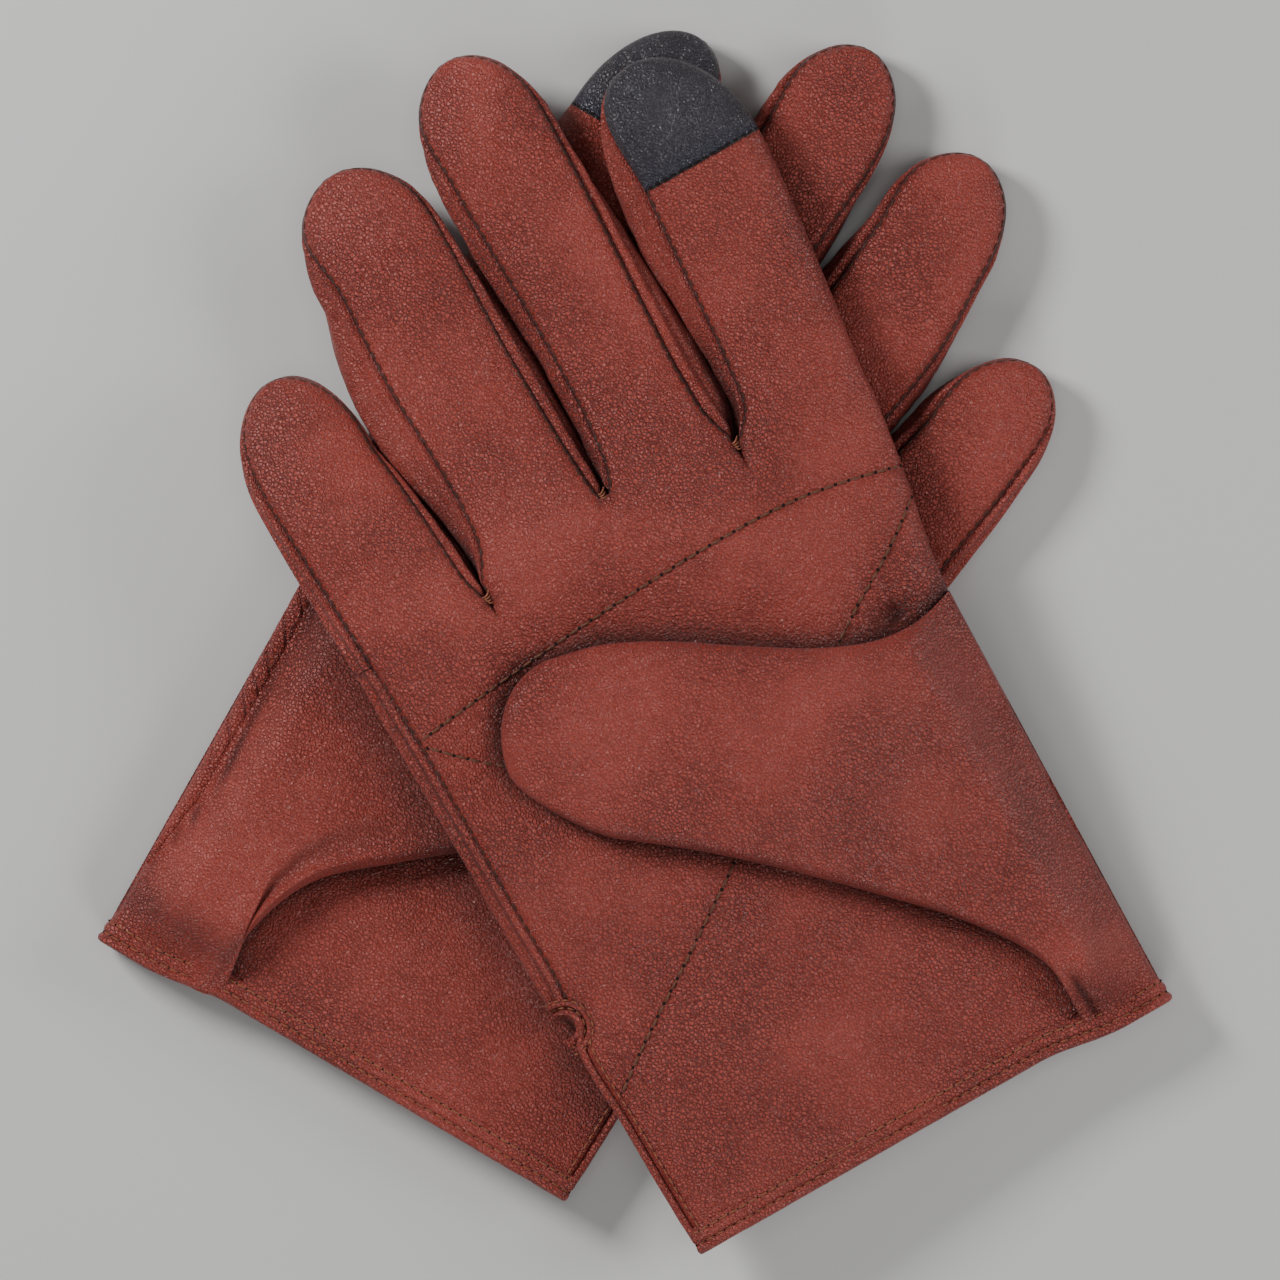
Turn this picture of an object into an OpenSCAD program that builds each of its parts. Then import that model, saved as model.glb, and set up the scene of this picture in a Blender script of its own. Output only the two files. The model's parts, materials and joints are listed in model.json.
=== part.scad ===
// A pair of men's leather touchscreen gloves, size 9, lying crossed with their palms up
// and their thumbs folded over the palms. The left glove lies on the table and the right
// glove is draped over it.
//
// Each glove is drawn in its own frame: x runs from the little finger to the thumb side,
// y from the cuff to the fingertips, and z up from the back of the hand to the palm.
// Every leather piece is a curved sheet between an outer and an inner grid of points.

/* [Hand] */
// Width of the cuff, laid flat
cuff_w = 113; // [108:1:118]
// Width of the palm, laid flat
palm_w = 120; // [114:1:124]
// Width across the roots of the fingers
knuckle_w = 126; // [120:1:130]
// Length of the palm, from the cuff to the finger roots
palm_len = 150; // [146:1:150]
// Thickness of the empty hand as it lies
hand_t = 10.5; // [9.5:0.1:11]

/* [Digits] */
// Thickness of an empty finger as it lies
finger_t = 9.5; // [8.5:0.1:10.5]
// Thickness of the folded thumb
thumb_t = 7; // [6:0.1:8]
// Air between the palm and the thumb folded over it
thumb_gap = 1.2; // [1.1:0.1:1.4]
// Distance from the cuff to the lower edge of the conductive fingertip
touch_y = 202; // [198:1:204]

/* [Materials] */
// Thickness of the leather
leather = 1.1; // [0.8:0.1:1.2]
// Thickness of the knitted lining
lining = 0.6; // [0.4:0.1:0.7]
// Width of the hem sewn round the cuff
hem_w = 4.2; // [3:0.1:6]
// Radius of the half-moon at the head of the side vent
vent_r = 3.4; // [2.5:0.1:4]

/* [Arrangement] */
// Lean of the right glove, anticlockwise
right_lean = 29.5; // [26:0.5:33]
// Lean of the left glove, clockwise
left_lean = 30.5; // [27:0.5:34]

/* [Hidden] */
// Middle of each cuff on the table
right_cuff = [63.0, -102.1];
left_cuff = [-63.5, -90.2];

hair = 0.2;             // clearance between leather and lining
flat_share = 0.97;      // the share of a section's height at which it is cut flat
hand_power = 4;         // squareness of the hand's section
digit_power = 2.6;      // squareness of a finger's section
edge_turn = 4;          // section angle of the thumb-side edge, where palm and back meet
slit_half = 2.5;        // half the section angle that the open vent takes
vent_y = 55.5;          // middle of the half-moon
vent_x = -61;
vent_rim = 1.5;         // width of the binding round the half-moon
fork_angle = 25;        // half the section angle of a finger's side strip
bend_gap = 0.4;         // from a bend line to the leather on either side of it
lay_gap = 0.5;          // air between the two gloves
thread = 0.6;           // width of a row of stitches
row_up = 0.3;           // height of a row of stitches above the leather's true curve
row_t = 0.25;           // thickness of a row of stitches
seam_lap = 3;           // how far the held fingers run into the palm
finger_lining_y = palm_len + 1.5;   // where the lining of a held finger begins

// A digit is [x at its root, x at its tip, y of its root, y where its tip begins to round,
// length of the rounded tip, half width at its root, half width at its tip].
RIGHT_DIGITS = [
    ["little", [-44.8, -47.0, 151, 183, 22.0, 13.6, 13.2]],
    ["ring",   [-11.8, -12.6, 155, 213, 24.0, 14.6, 15.2]],
    ["middle", [ 21.2,  20.6, 156, 222, 24.5, 14.0, 14.6]],
    ["index",  [ 52.6,  56.0, 153, 205, 22.0, 14.0, 15.2]],
];
LEFT_DIGITS = [
    ["little", [-45.4, -51.6, 151, 183, 20.0, 13.2, 12.2]],
    ["ring",   [-13.6, -20.6, 155, 214, 21.5, 13.8, 14.2]],
    ["middle", [ 18.4,  11.4, 156, 222, 21.5, 13.6, 14.2]],
    ["index",  [ 49.6,  45.4, 153, 206, 21.0, 13.6, 14.6]],
];
// Where each finger bends: at its root on the right glove, and on the left glove beyond
// the leather that the right glove holds down. The left index finger is held to its tip.
root_y = palm_len + 1;
RIGHT_BENDS = [["little", root_y], ["ring", root_y], ["middle", root_y], ["index", root_y]];
LEFT_BENDS = [["little", 172], ["ring", 197], ["middle", 222], ["index", root_y]];

// The folded thumb: its upper and lower edges from the base to where the tip rounds,
// and the reach of the tip beyond that.
THUMB_UPPER = [[49, 92.5], [38, 94.5], [24, 101.5], [10, 110], [-4, 118.5], [-19.5, 124.5]];
THUMB_LOWER = [[45, 9], [38, 18], [27, 32.5], [12, 48.5], [-8, 67], [-33, 89.5]];
thumb_tip = [-16, 6.5];

SIDES = ["right", "left"];
FINGERS = ["little", "ring", "middle", "index"];
HAND_PIECES = ["palm_panel", "back_panel", "cuff_hem", "vent_binding", "palm_stitching",
               "cuff_stitching", "hand_lining", "thumb_front", "thumb_back", "thumb_lining"];
FINGER_PIECES = ["front", "back", "fourchettes", "lining"];

LEATHER = "sienna";
BLACK = "#26262b";
KNIT = "#5a3a2c";
THREAD = "#3a1f14";

// ---- shared functions ----

function ease(t) = let (c = min(max(t, 0), 1)) c * c * (3 - 2 * c);
function power(v, p) = sign(v) * pow(abs(v), 2 / p);
function mix(a, b, t) = a + (b - a) * t;
function steps(a, b, n) = [for (i = [0:n]) mix(a, b, i / n)];
function pick(table, name) = [for (row = table) if (row[0] == name) row[1]][0];
function digit(side, f) = pick(side == "right" ? RIGHT_DIGITS : LEFT_DIGITS, f);
function bend_y(side, f) = pick(side == "right" ? RIGHT_BENDS : LEFT_BENDS, f);

// A point of the right glove's frame in the left glove's.
function right_to_left(x, y) =
    let (u = right_cuff + [x * cos(right_lean) - y * sin(right_lean),
                           x * sin(right_lean) + y * cos(right_lean)] - left_cuff)
    [-u[0] * cos(left_lean) + u[1] * sin(left_lean),
      u[0] * sin(left_lean) + u[1] * cos(left_lean)];

function to_segment(p, a, b) =
    let (d = b - a, t = min(max(((p - a) * d) / (d * d), 0), 1)) norm(p - a - d * t);

// Height of a glove's underside above the table. The left glove lies flat; the right one
// rises over the left hand and over its folded thumb, and sinks to the table beyond them.
drape_flat = 64;
drape_fall = 84;
thumb_from = [48, 66];
thumb_to = [-22, 106];
thumb_reach = 25;
thumb_fall = 46;
function lift(side, x, y) = side == "left" ? 0 :
    let (q = right_to_left(x, y))
    (hand_t + lay_gap) * (1 - ease((abs(q[0]) - drape_flat) / drape_fall))
    + (thumb_gap + thumb_t) * (1 - ease((to_segment(q, thumb_from, thumb_to) - thumb_reach) / thumb_fall));

// One point of a section: a square-cornered oval, cut flat above and below.
function oval(xc, y, w, h, zc, a, p) =
    [xc + w * power(cos(a), p), y, zc + h / flat_share * min(max(power(sin(a), p), -flat_share), flat_share)];

function ulnar_x(y) = -mix(cuff_w, palm_w, ease(y / 50)) / 2;
function radial_x(y) = mix(cuff_w / 2, knuckle_w - palm_w / 2, ease((y - 80) / 75));

// ---- grids of points ----

// The section angle at a share of the half width, from 1 on the thumb side to -1.
function turn_at(share, p) = acos(sign(share) * pow(abs(share), p / 2));

// Section angles across the palm and across the back, from the thumb's edge to the vent.
TO_SEAM = [0.985, 0.94, 0.86, 0.7, 0.5, 0.3, 0.1, -0.1, -0.3, -0.5, -0.7, -0.85, -0.935];
PALM_ABOVE_VENT = concat([edge_turn], [for (share = TO_SEAM) turn_at(share, hand_power)]);
PALM_TURN = concat(PALM_ABOVE_VENT, [turn_at(-0.985, hand_power), 180 - slit_half]);
last_turn = len(PALM_TURN) - 1;
BACK_TURN = concat([for (i = [last_turn:-1:0]) 360 - PALM_TURN[i]], [360 + edge_turn]);
BACK_ABOVE_VENT = concat([for (i = [len(TO_SEAM):last_turn]) PALM_TURN[i]], BACK_TURN);
WHOLE_TURN = concat(BACK_TURN, [for (i = [1:last_turn]) PALM_TURN[i] + 360]);

// The hand over a list of heights up the hand, inset inwards, at the given section angles.
function hand_point(side, y, inset, a) =
    let (l = ulnar_x(y), r = radial_x(y),
         p = oval((l + r) / 2, y, (r - l) / 2 - inset, hand_t / 2 - inset, hand_t / 2, a, hand_power))
    [p[0], p[1], p[2] + lift(side, p[0], p[1])];
function hand_grid(side, ys, angles, inset) =
    [for (y = ys) [for (a = angles) hand_point(side, y, inset, a)]];

// A finger between y0 and y1. A finger that runs past the start of its rounded tip is
// closed there.
function finger_rows(d, y0, y1, n) = concat(
    [for (y = steps(y0, min(y1, d[3]), n)) [y, 0]],
    y1 > d[3] ? [for (turn = [26, 50, 70, 84]) [d[3], turn]] : []);
function finger_point(side, d, row, inset, a) =
    let (t = (row[0] - d[2]) / (d[3] - d[2]), shut = cos(row[1]),
         y = row[0] + (d[4] - inset) * sin(row[1]),
         w = (mix(d[5], d[6], t) - inset) * shut,
         p = oval(mix(d[0], d[1], t), y, w, (finger_t / 2 - inset) * shut, finger_t / 2, a, digit_power))
    [p[0], p[1], p[2] + lift(side, p[0], p[1])];
function finger_grid(side, d, y0, y1, n, angles, inset) =
    [for (row = finger_rows(d, y0, y1, n)) [for (a = angles) finger_point(side, d, row, inset, a)]];

// The thumb, which lies across the palm.
function thumb_ends(row, inset) =
    let (n = len(THUMB_UPPER) - 1, k = min(floor(row[0]), n - 1), t = row[0] - k,
         u = mix(THUMB_UPPER[k], THUMB_UPPER[k + 1], t), l = mix(THUMB_LOWER[k], THUMB_LOWER[k + 1], t),
         half = (u - l) / 2, c = (u + l) / 2,
         across = half * (1 - inset / norm(half)) * cos(row[1]),
         reach = thumb_tip * (1 - inset / norm(thumb_tip)) * sin(row[1]))
    [c + reach, across];
function thumb_rows() = concat(
    [for (k = [0:len(THUMB_UPPER) - 1]) [k, 0]],
    [for (turn = [26, 50, 70, 84]) [len(THUMB_UPPER) - 1, turn]]);
function thumb_point(side, row, inset, a) =
    let (e = thumb_ends(row, inset), s = power(cos(a), digit_power),
         q = e[0] - e[1] * s,
         z0 = hand_t + thumb_gap + thumb_t / 2,
         z = z0 + (thumb_t / 2 - inset) * cos(row[1]) / flat_share
             * min(max(power(sin(a), digit_power), -flat_share), flat_share))
    [q[0], q[1], z + lift(side, q[0], q[1])];
function thumb_grid(side, angles, inset) =
    [for (row = thumb_rows()) [for (a = angles) thumb_point(side, row, inset, a)]];

// ---- solids ----

// A closed sheet between an outer and an inner grid of the same size.
module sheet(outer, inner) {
    cols = len(outer[0]);
    n = len(outer) * cols;
    top = len(outer) - 1;
    last = cols - 1;
    function o(j, i) = j * cols + i;
    function q(j, i) = n + j * cols + i;
    function two(a, b, c, d) = [[a, b, c], [a, c, d]];
    polyhedron(
        points = concat([for (r = outer) each r], [for (r = inner) each r]),
        faces = concat(
            [for (j = [0:top - 1], i = [0:last - 1])
                each two(o(j, i), o(j, i + 1), o(j + 1, i + 1), o(j + 1, i))],
            [for (j = [0:top - 1], i = [0:last - 1])
                each two(q(j, i), q(j + 1, i), q(j + 1, i + 1), q(j, i + 1))],
            [for (i = [0:last - 1]) each two(o(0, i), q(0, i), q(0, i + 1), o(0, i + 1))],
            [for (i = [0:last - 1]) each two(o(top, i), o(top, i + 1), q(top, i + 1), q(top, i))],
            [for (j = [0:top - 1]) each two(o(j, 0), o(j + 1, 0), q(j + 1, 0), q(j, 0))],
            [for (j = [0:top - 1])
                each two(o(j, last), q(j, last), q(j + 1, last), o(j + 1, last))]),
        convexity = 6);
}

// A glove's own frame, set down on the table.
module glove_frame(side) {
    if (side == "right") translate([right_cuff[0], right_cuff[1], 0]) rotate(right_lean) children();
    else translate([left_cuff[0], left_cuff[1], 0]) rotate(-left_lean) mirror([1, 0, 0]) children();
}

module hand_sheet(side, ys, angles, in0, in1)
    sheet(hand_grid(side, ys, angles, in0), hand_grid(side, ys, angles, in1));

module finger_sheet(side, f, y0, y1, n, angles, in0, in1) {
    d = digit(side, f);
    sheet(finger_grid(side, d, y0, y1, n, angles, in0), finger_grid(side, d, y0, y1, n, angles, in1));
}

// The side vent: an open slit in the little finger's edge, up to a half-moon.
module vent_hole(side, r)
    translate([vent_x, vent_y, -1]) cylinder(h = 60, r = r, $fn = 32);

// Section angles of a finger's front, of its back, and of the whole of it.
function front_angles(f, n) =
    steps(f == "index" ? -edge_turn : fork_angle, f == "little" ? 170 : 180 - fork_angle, n);
function back_angles(f, n) =
    steps(f == "little" ? 170 : 180 + fork_angle, 360 - (f == "index" ? edge_turn : fork_angle), n);
function whole_finger(f, n) = concat(
    front_angles(f, n), f == "little" ? [] : [180],
    [for (a = back_angles(f, n)) if (a > 170) min(a, 354)],
    f == "index" ? [] : [360, 358 + fork_angle]);
function finger_start(side, f) = bend_y(side, f) + bend_gap;
function held_end(side, f) = bend_y(side, f) - bend_gap;
function held(side, f) = bend_y(side, f) > root_y;
module held_sheet(side, f, from, angles, in0, in1)
    finger_sheet(side, f, from, held_end(side, f), 4, angles, in0, in1);
FULL = 400;             // past every fingertip
BELOW_VENT = steps(hem_w, vent_y, 4);
ABOVE_VENT = concat(steps(vent_y, palm_len - seam_lap, 7), [palm_len]);
ACROSS_THUMB = [1, 0.96, 0.84, 0.6, 0.3, 0, -0.3, -0.6, -0.84, -0.96, -1];
THUMB_BACK_TURN = [for (share = ACROSS_THUMB) 360 - turn_at(share, digit_power)];
THUMB_FRONT_TURN = [for (angle = THUMB_BACK_TURN) angle - 180];

// The palm side of the hand. On the left glove it runs on up the fingers to where they bend.
module palm_panel(side) {
    difference() {
        union() {
            hand_sheet(side, BELOW_VENT, PALM_TURN, 0, leather);
            hand_sheet(side, ABOVE_VENT, PALM_ABOVE_VENT, 0, leather);
            for (f = FINGERS) if (held(side, f))
                held_sheet(side, f, palm_len - seam_lap, front_angles(f, 5), 0, leather);
        }
        vent_hole(side, vent_r + vent_rim);
    }
}

// The back of the hand, which wraps round both edges.
module back_panel(side) {
    difference() {
        union() {
            hand_sheet(side, BELOW_VENT, BACK_TURN, 0, leather);
            hand_sheet(side, ABOVE_VENT, BACK_ABOVE_VENT, 0, leather);
            for (f = FINGERS) if (held(side, f))
                held_sheet(side, f, palm_len - seam_lap, back_angles(f, 5), 0, leather);
        }
        vent_hole(side, vent_r + vent_rim);
    }
}

// The folded hem round the cuff, open at the vent.
module cuff_hem(side)
    hand_sheet(side, [0, hem_w], WHOLE_TURN, 0, leather);

// The binding round the half-moon, in a palm half and a back half.
module vent_binding(side) {
    reach = vent_r + vent_rim;
    intersection() {
        difference() {
            vent_hole(side, reach - 0.02);
            vent_hole(side, vent_r);
        }
        union() {
            hand_sheet(side, steps(vent_y - reach, vent_y + reach, 2), steps(120, 177, 6), 0, leather);
            hand_sheet(side, steps(vent_y - reach, vent_y + reach, 2), steps(183, 240, 6), 0, leather);
        }
    }
}

// A row of stitches laid on the hand, through points of the palm.
function palm_z(side, p) =
    let (l = ulnar_x(p[1]), r = radial_x(p[1]), s = min(0.999, abs(p[0] - (l + r) / 2) / ((r - l) / 2)),
         up = pow(1 - pow(s, hand_power), 1 / hand_power))
    hand_t / 2 + hand_t / 2 / flat_share * min(up, flat_share) + lift(side, p[0], p[1]);
module thread_row(side, ends, n) {
    way = ends[1] - ends[0];
    aside = [way[1], -way[0]] / norm(way) * thread / 2;
    function at(t, s, up) = let (p = mix(ends[0], ends[1], t) + aside * s) [p[0], p[1], palm_z(side, p) + up];
    sheet([for (t = steps(0, 1, n)) [at(t, 1, row_up + row_t), at(t, -1, row_up + row_t)]],
          [for (t = steps(0, 1, n)) [at(t, 1, row_up), at(t, -1, row_up)]]);
}

// The decorative rows on the palm: one across it, and the stretches of two more that the
// folded thumb leaves in sight.
module palm_stitching(side) {
    thread_row(side, [[-53, 124], [4, 129]], 9);
    thread_row(side, [[6, 129], [57, 126.5]], 8);
    thread_row(side, [[-53, 38.5], [-16, 63.5]], 6);
    thread_row(side, [[39, 102], [56, 113.5]], 3);
    thread_row(side, [[-52, 120.5], [-47, 116]], 1);
}

// Two rows round the cuff, kept on the palm side where they stand proud.
module cuff_stitching(side)
    for (y = [1.2, 3.6]) thread_row(side, [[-51, y], [51, y]], 14);

module hand_lining(side) {
    in0 = leather + hair;
    top = palm_len - seam_lap;
    ys = concat(BELOW_VENT, [for (y = ABOVE_VENT) if (y > vent_y && y <= top) min(y, top - hair)]);
    hand_sheet(side, ys, WHOLE_TURN, in0, in0 + lining);
    for (f = FINGERS) if (held(side, f))
        held_sheet(side, f, finger_lining_y, whole_finger(f, 5), in0, in0 + lining);
}

module thumb_sheet(side, angles, in0, in1)
    sheet(thumb_grid(side, angles, in0), thumb_grid(side, angles, in1));
module thumb_front(side) thumb_sheet(side, THUMB_FRONT_TURN, 0, leather);
module thumb_back(side) thumb_sheet(side, THUMB_BACK_TURN, 0, leather);
module thumb_lining(side) {
    turn = concat([for (a = THUMB_BACK_TURN) min(a, 358)],
                  [for (a = THUMB_FRONT_TURN) if (a < 180) max(a, 2)]);
    thumb_sheet(side, turn, leather + hair, leather + hair + lining);
}

// The leather and the lining of one finger, beyond its bend.
module finger_front(side, f) {
    to = f == "index" ? touch_y : FULL;
    finger_sheet(side, f, finger_start(side, f), to, 4, front_angles(f, 6), 0, leather);
}
module finger_back(side, f)
    finger_sheet(side, f, finger_start(side, f), FULL, 4, back_angles(f, 6), 0, leather);
module side_strips(side, f, from, to, n)
    for (facing = [0, 180]) if (f != (facing == 0 ? "index" : "little"))
        finger_sheet(side, f, from, to, n, steps(facing - fork_angle, facing + fork_angle, 2), 0, leather);
module finger_fourchettes(side, f) side_strips(side, f, finger_start(side, f), FULL, 4);
module finger_lining(side, f)
    finger_sheet(side, f, finger_start(side, f), FULL, 4, whole_finger(f, 6),
                 leather + hair, leather + hair + lining);

// The conductive fingertip of the index finger.
module touch_tip(side)
    finger_sheet(side, "index", touch_y, FULL, 1, front_angles("index", 6), 0, leather);

// The side strips of the left fingers, from the palm to where the fingers bend.
module hand_fourchettes(side)
    for (f = FINGERS) if (held(side, f)) side_strips(side, f, root_y, held_end(side, f), 3);

module hand_piece(side, p) {
    if (p == "palm_panel") color(LEATHER) palm_panel(side);
    if (p == "back_panel") color(LEATHER) back_panel(side);
    if (p == "cuff_hem") color(LEATHER) cuff_hem(side);
    if (p == "vent_binding") color(LEATHER) vent_binding(side);
    if (p == "palm_stitching") color(THREAD) palm_stitching(side);
    if (p == "cuff_stitching") color(THREAD) cuff_stitching(side);
    if (p == "hand_lining") color(KNIT) hand_lining(side);
    if (p == "thumb_front") color(LEATHER) thumb_front(side);
    if (p == "thumb_back") color(LEATHER) thumb_back(side);
    if (p == "thumb_lining") color(KNIT) thumb_lining(side);
}

module finger_piece(side, f, p) {
    if (p == "front") color(LEATHER) finger_front(side, f);
    if (p == "back") color(LEATHER) finger_back(side, f);
    if (p == "fourchettes") color(LEATHER) finger_fourchettes(side, f);
    if (p == "lining") color(KNIT) finger_lining(side, f);
}

for (side = SIDES) glove_frame(side) {
    for (p = HAND_PIECES)
        hand_piece(side, p);
    for (f = FINGERS, p = FINGER_PIECES)
        finger_piece(side, f, p);
    color(BLACK) touch_tip(side);
}
color(LEATHER) glove_frame("left") hand_fourchettes("left");  // left_hand_fourchettes
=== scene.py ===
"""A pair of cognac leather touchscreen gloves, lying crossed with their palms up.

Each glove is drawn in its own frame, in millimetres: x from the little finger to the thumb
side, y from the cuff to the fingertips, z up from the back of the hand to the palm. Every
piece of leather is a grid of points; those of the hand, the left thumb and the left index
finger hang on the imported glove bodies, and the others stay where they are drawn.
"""
import json
import math

import bpy
import numpy as np
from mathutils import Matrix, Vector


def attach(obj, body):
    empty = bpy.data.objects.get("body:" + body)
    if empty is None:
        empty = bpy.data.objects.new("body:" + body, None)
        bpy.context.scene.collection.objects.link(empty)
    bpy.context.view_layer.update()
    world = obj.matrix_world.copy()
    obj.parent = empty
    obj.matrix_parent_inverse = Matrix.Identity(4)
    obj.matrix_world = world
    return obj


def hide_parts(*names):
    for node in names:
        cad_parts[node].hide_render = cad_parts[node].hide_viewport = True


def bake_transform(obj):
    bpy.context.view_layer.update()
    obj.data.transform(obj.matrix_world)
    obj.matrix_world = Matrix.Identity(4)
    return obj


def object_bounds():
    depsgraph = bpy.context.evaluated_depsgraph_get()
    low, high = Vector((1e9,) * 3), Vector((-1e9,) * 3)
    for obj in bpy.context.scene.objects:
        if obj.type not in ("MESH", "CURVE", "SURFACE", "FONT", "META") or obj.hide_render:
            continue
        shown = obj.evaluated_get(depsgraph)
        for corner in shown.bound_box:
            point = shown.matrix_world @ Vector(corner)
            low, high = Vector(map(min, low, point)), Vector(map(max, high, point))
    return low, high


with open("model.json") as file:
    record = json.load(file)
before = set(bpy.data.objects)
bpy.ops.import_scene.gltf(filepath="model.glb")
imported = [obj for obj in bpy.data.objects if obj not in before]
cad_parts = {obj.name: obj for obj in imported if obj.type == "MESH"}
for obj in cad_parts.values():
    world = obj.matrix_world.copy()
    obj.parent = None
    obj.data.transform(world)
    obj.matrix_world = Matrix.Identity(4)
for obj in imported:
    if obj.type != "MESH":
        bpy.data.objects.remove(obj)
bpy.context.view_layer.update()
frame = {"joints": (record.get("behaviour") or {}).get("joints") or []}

# ---------------------------------------------------------------- sizes, in millimetres
HAND_T = 10.5          # thickness of the empty hand
FINGER_T = 9.5         # thickness of an empty finger
THUMB_T = 7.0          # thickness of the folded thumb
LAY_GAP = 0.5          # air between the two gloves
STITCH_PITCH = 3.0     # length of one stitch
ROOT_ROWS_END = 170    # above this, a finger's rows run straight across
TOUCH_Y = 201.5        # lower edge of the conductive fingertip
HAND_POWER = 5         # how square the hand's section is: 2 is an oval
FAR_OFF = 99.0         # a distance beyond any that matters
SEAM_PITCH = 2.7       # length of one stitch of the finger seams
CUFF_PITCH = 2.4       # length of one stitch of the cuff
VENT_PITCH = 2.1       # length of one stitch of the vent
TIP_PITCH = 1.9        # length of one stitch of the conductive fingertip
FINGERS = ["little", "ring", "middle", "index"]

# Each finger: the crotches at either side, then for rising y the outer edge and the seam on
# the little finger's side, and the seam and the outer edge on the thumb's side, then the
# fingertip (x, y) and the y where the tip starts to round.
RIGHT_FINGERS = {
    "little": dict(rows=[(142, -60.0, -56.3, -27.5, -27.5), (148, -60.2, -56.7, -29.4, -27.4),
                         (158, -60.4, -57.2, -30.2, -28.3), (171, -60.6, -57.9, -31.4, -30.2),
                         (184, -60.6, -58.7, -33.1, -32.9)], tip=(-45.5, 205.8)),
    "ring": dict(rows=[(146, -27.5, -27.5, 4.5, 4.5), (152, -26.7, -24.3, 3.4, 5.2),
                       (160, -27.4, -23.2, 2.8, 5.8), (175, -30.4, -23.2, 2.3, 6.0),
                       (190, -31.6, -24.0, 2.2, 5.6), (204, -30.6, -23.6, 2.4, 4.8),
                       (214, -28.7, -23.1, 2.5, 3.8)], tip=(-11.8, 237.6)),
    "middle": dict(rows=[(147, 4.5, 4.5, 34.5, 34.5), (153, 5.4, 7.4, 32.4, 36.4),
                         (163, 6.4, 9.0, 31.7, 36.8), (178, 7.0, 9.6, 32.0, 36.7),
                         (190, 6.8, 9.6, 32.6, 36.5), (206, 5.1, 9.2, 33.4, 36.2),
                         (222, 4.6, 8.9, 34.0, 35.4)], tip=(21.2, 246.6)),
    "index": dict(rows=[(145, 34.5, 34.5, 65.6, 65.6), (150, 37.4, 39.0, 66.2, 66.2),
                        (160, 38.3, 41.0, 67.6, 67.6), (175, 38.1, 42.2, 69.4, 69.4),
                        (190, 37.5, 43.2, 71.0, 71.0), (203, 38.4, 44.2, 71.9, 71.9)],
                  tip=(54.5, 226.8)),
}
LEFT_FINGERS = {
    "little": dict(rows=[(142, -59.6, -56.3, -28.6, -28.6), (148, -60.2, -56.9, -30.6, -28.6),
                         (160, -61.4, -58.5, -33.4, -30.4), (172, -62.8, -60.4, -36.6, -33.4),
                         (182, -63.5, -61.6, -39.0, -36.6)], tip=(-52.6, 203.4)),
    "ring": dict(rows=[(146, -28.6, -28.6, 2.6, 2.6), (152, -28.2, -26.0, 0.6, 3.0),
                       (162, -30.2, -27.4, -1.4, 2.4), (178, -33.6, -31.4, -4.4, 0.2),
                       (196, -35.6, -34.0, -7.0, -3.4), (213, -35.0, -33.6, -8.6, -5.8)],
                 tip=(-20.4, 235.6)),
    "middle": dict(rows=[(147, 2.6, 2.6, 31.6, 31.6), (153, 3.6, 5.6, 29.8, 33.2),
                         (165, 3.2, 6.4, 29.0, 33.0), (180, 1.2, 4.2, 27.4, 31.4),
                         (200, -2.0, 0.2, 24.2, 28.4), (220, -3.0, -1.4, 23.0, 26.2)],
                   tip=(11.4, 243.6)),
    "index": dict(rows=[(145, 31.6, 31.6, 63.6, 63.6), (150, 34.4, 36.0, 63.8, 63.8),
                        (163, 34.6, 37.6, 63.4, 63.4), (185, 31.4, 35.6, 62.4, 62.4),
                        (203, 30.4, 34.6, 60.6, 60.6)], tip=(44.6, 227.4)),
}

# The hand: for rising y the outer edge, the seam beside it, and the thumb-side edge.
HAND_EDGES = [(0, -56.6, -55.9, 56.3), (12, -57.0, -56.3, 56.4), (30, -57.3, -56.6, 56.6),
              (47, -58.2, -57.2, 56.8), (62, -59.3, -55.3, 57.4), (80, -59.5, -55.4, 58.0),
              (95, -59.6, -55.5, 58.4), (104, -59.7, -55.5, 59.4), (118, -59.8, -55.6, 62.0),
              (130, -59.9, -55.9, 64.0), (142, -60.0, -56.3, 65.6)]

# The folded thumb: pairs of points on its upper and lower edges, from the thumb-side edge of
# the hand to where the tip begins to round, then how far the tip reaches beyond them and
# how its lower side is pulled in.
RIGHT_THUMB = dict(pairs=[((58.3, 96.0), (56.6, -1.5)), ((53.0, 94.3), (48.5, -1.5)),
                          ((46.5, 93.6), (39.2, -0.5)), ((38.0, 95.0), (37.6, 16.5)),
                          ((27.0, 99.8), (28.0, 32.0)), ((14.0, 107.8), (13.0, 48.0)),
                          ((1.0, 116.2), (-1.5, 62.2)), ((-11.0, 122.2), (-14.0, 73.4)),
                          ((-22.0, 125.0), (-27.0, 83.6))], reach=(-17.5, 3.5), pull=(3.5, 6.0))
LEFT_THUMB = dict(pairs=[((58.3, 94.0), (56.6, -1.5)), ((53.0, 92.0), (44.0, -1.5)),
                         ((46.0, 90.5), (29.5, -0.5)), ((38.0, 91.0), (30.0, 14.5)),
                         ((27.0, 94.8), (24.0, 30.5)), ((14.0, 101.0), (10.0, 43.6)),
                         ((1.0, 108.4), (-3.0, 54.6)), ((-11.0, 114.4), (-15.0, 66.0)),
                         ((-22.0, 117.6), (-27.0, 76.6))], reach=(-17.0, 4.0), pull=(3.5, 5.5))

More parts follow.
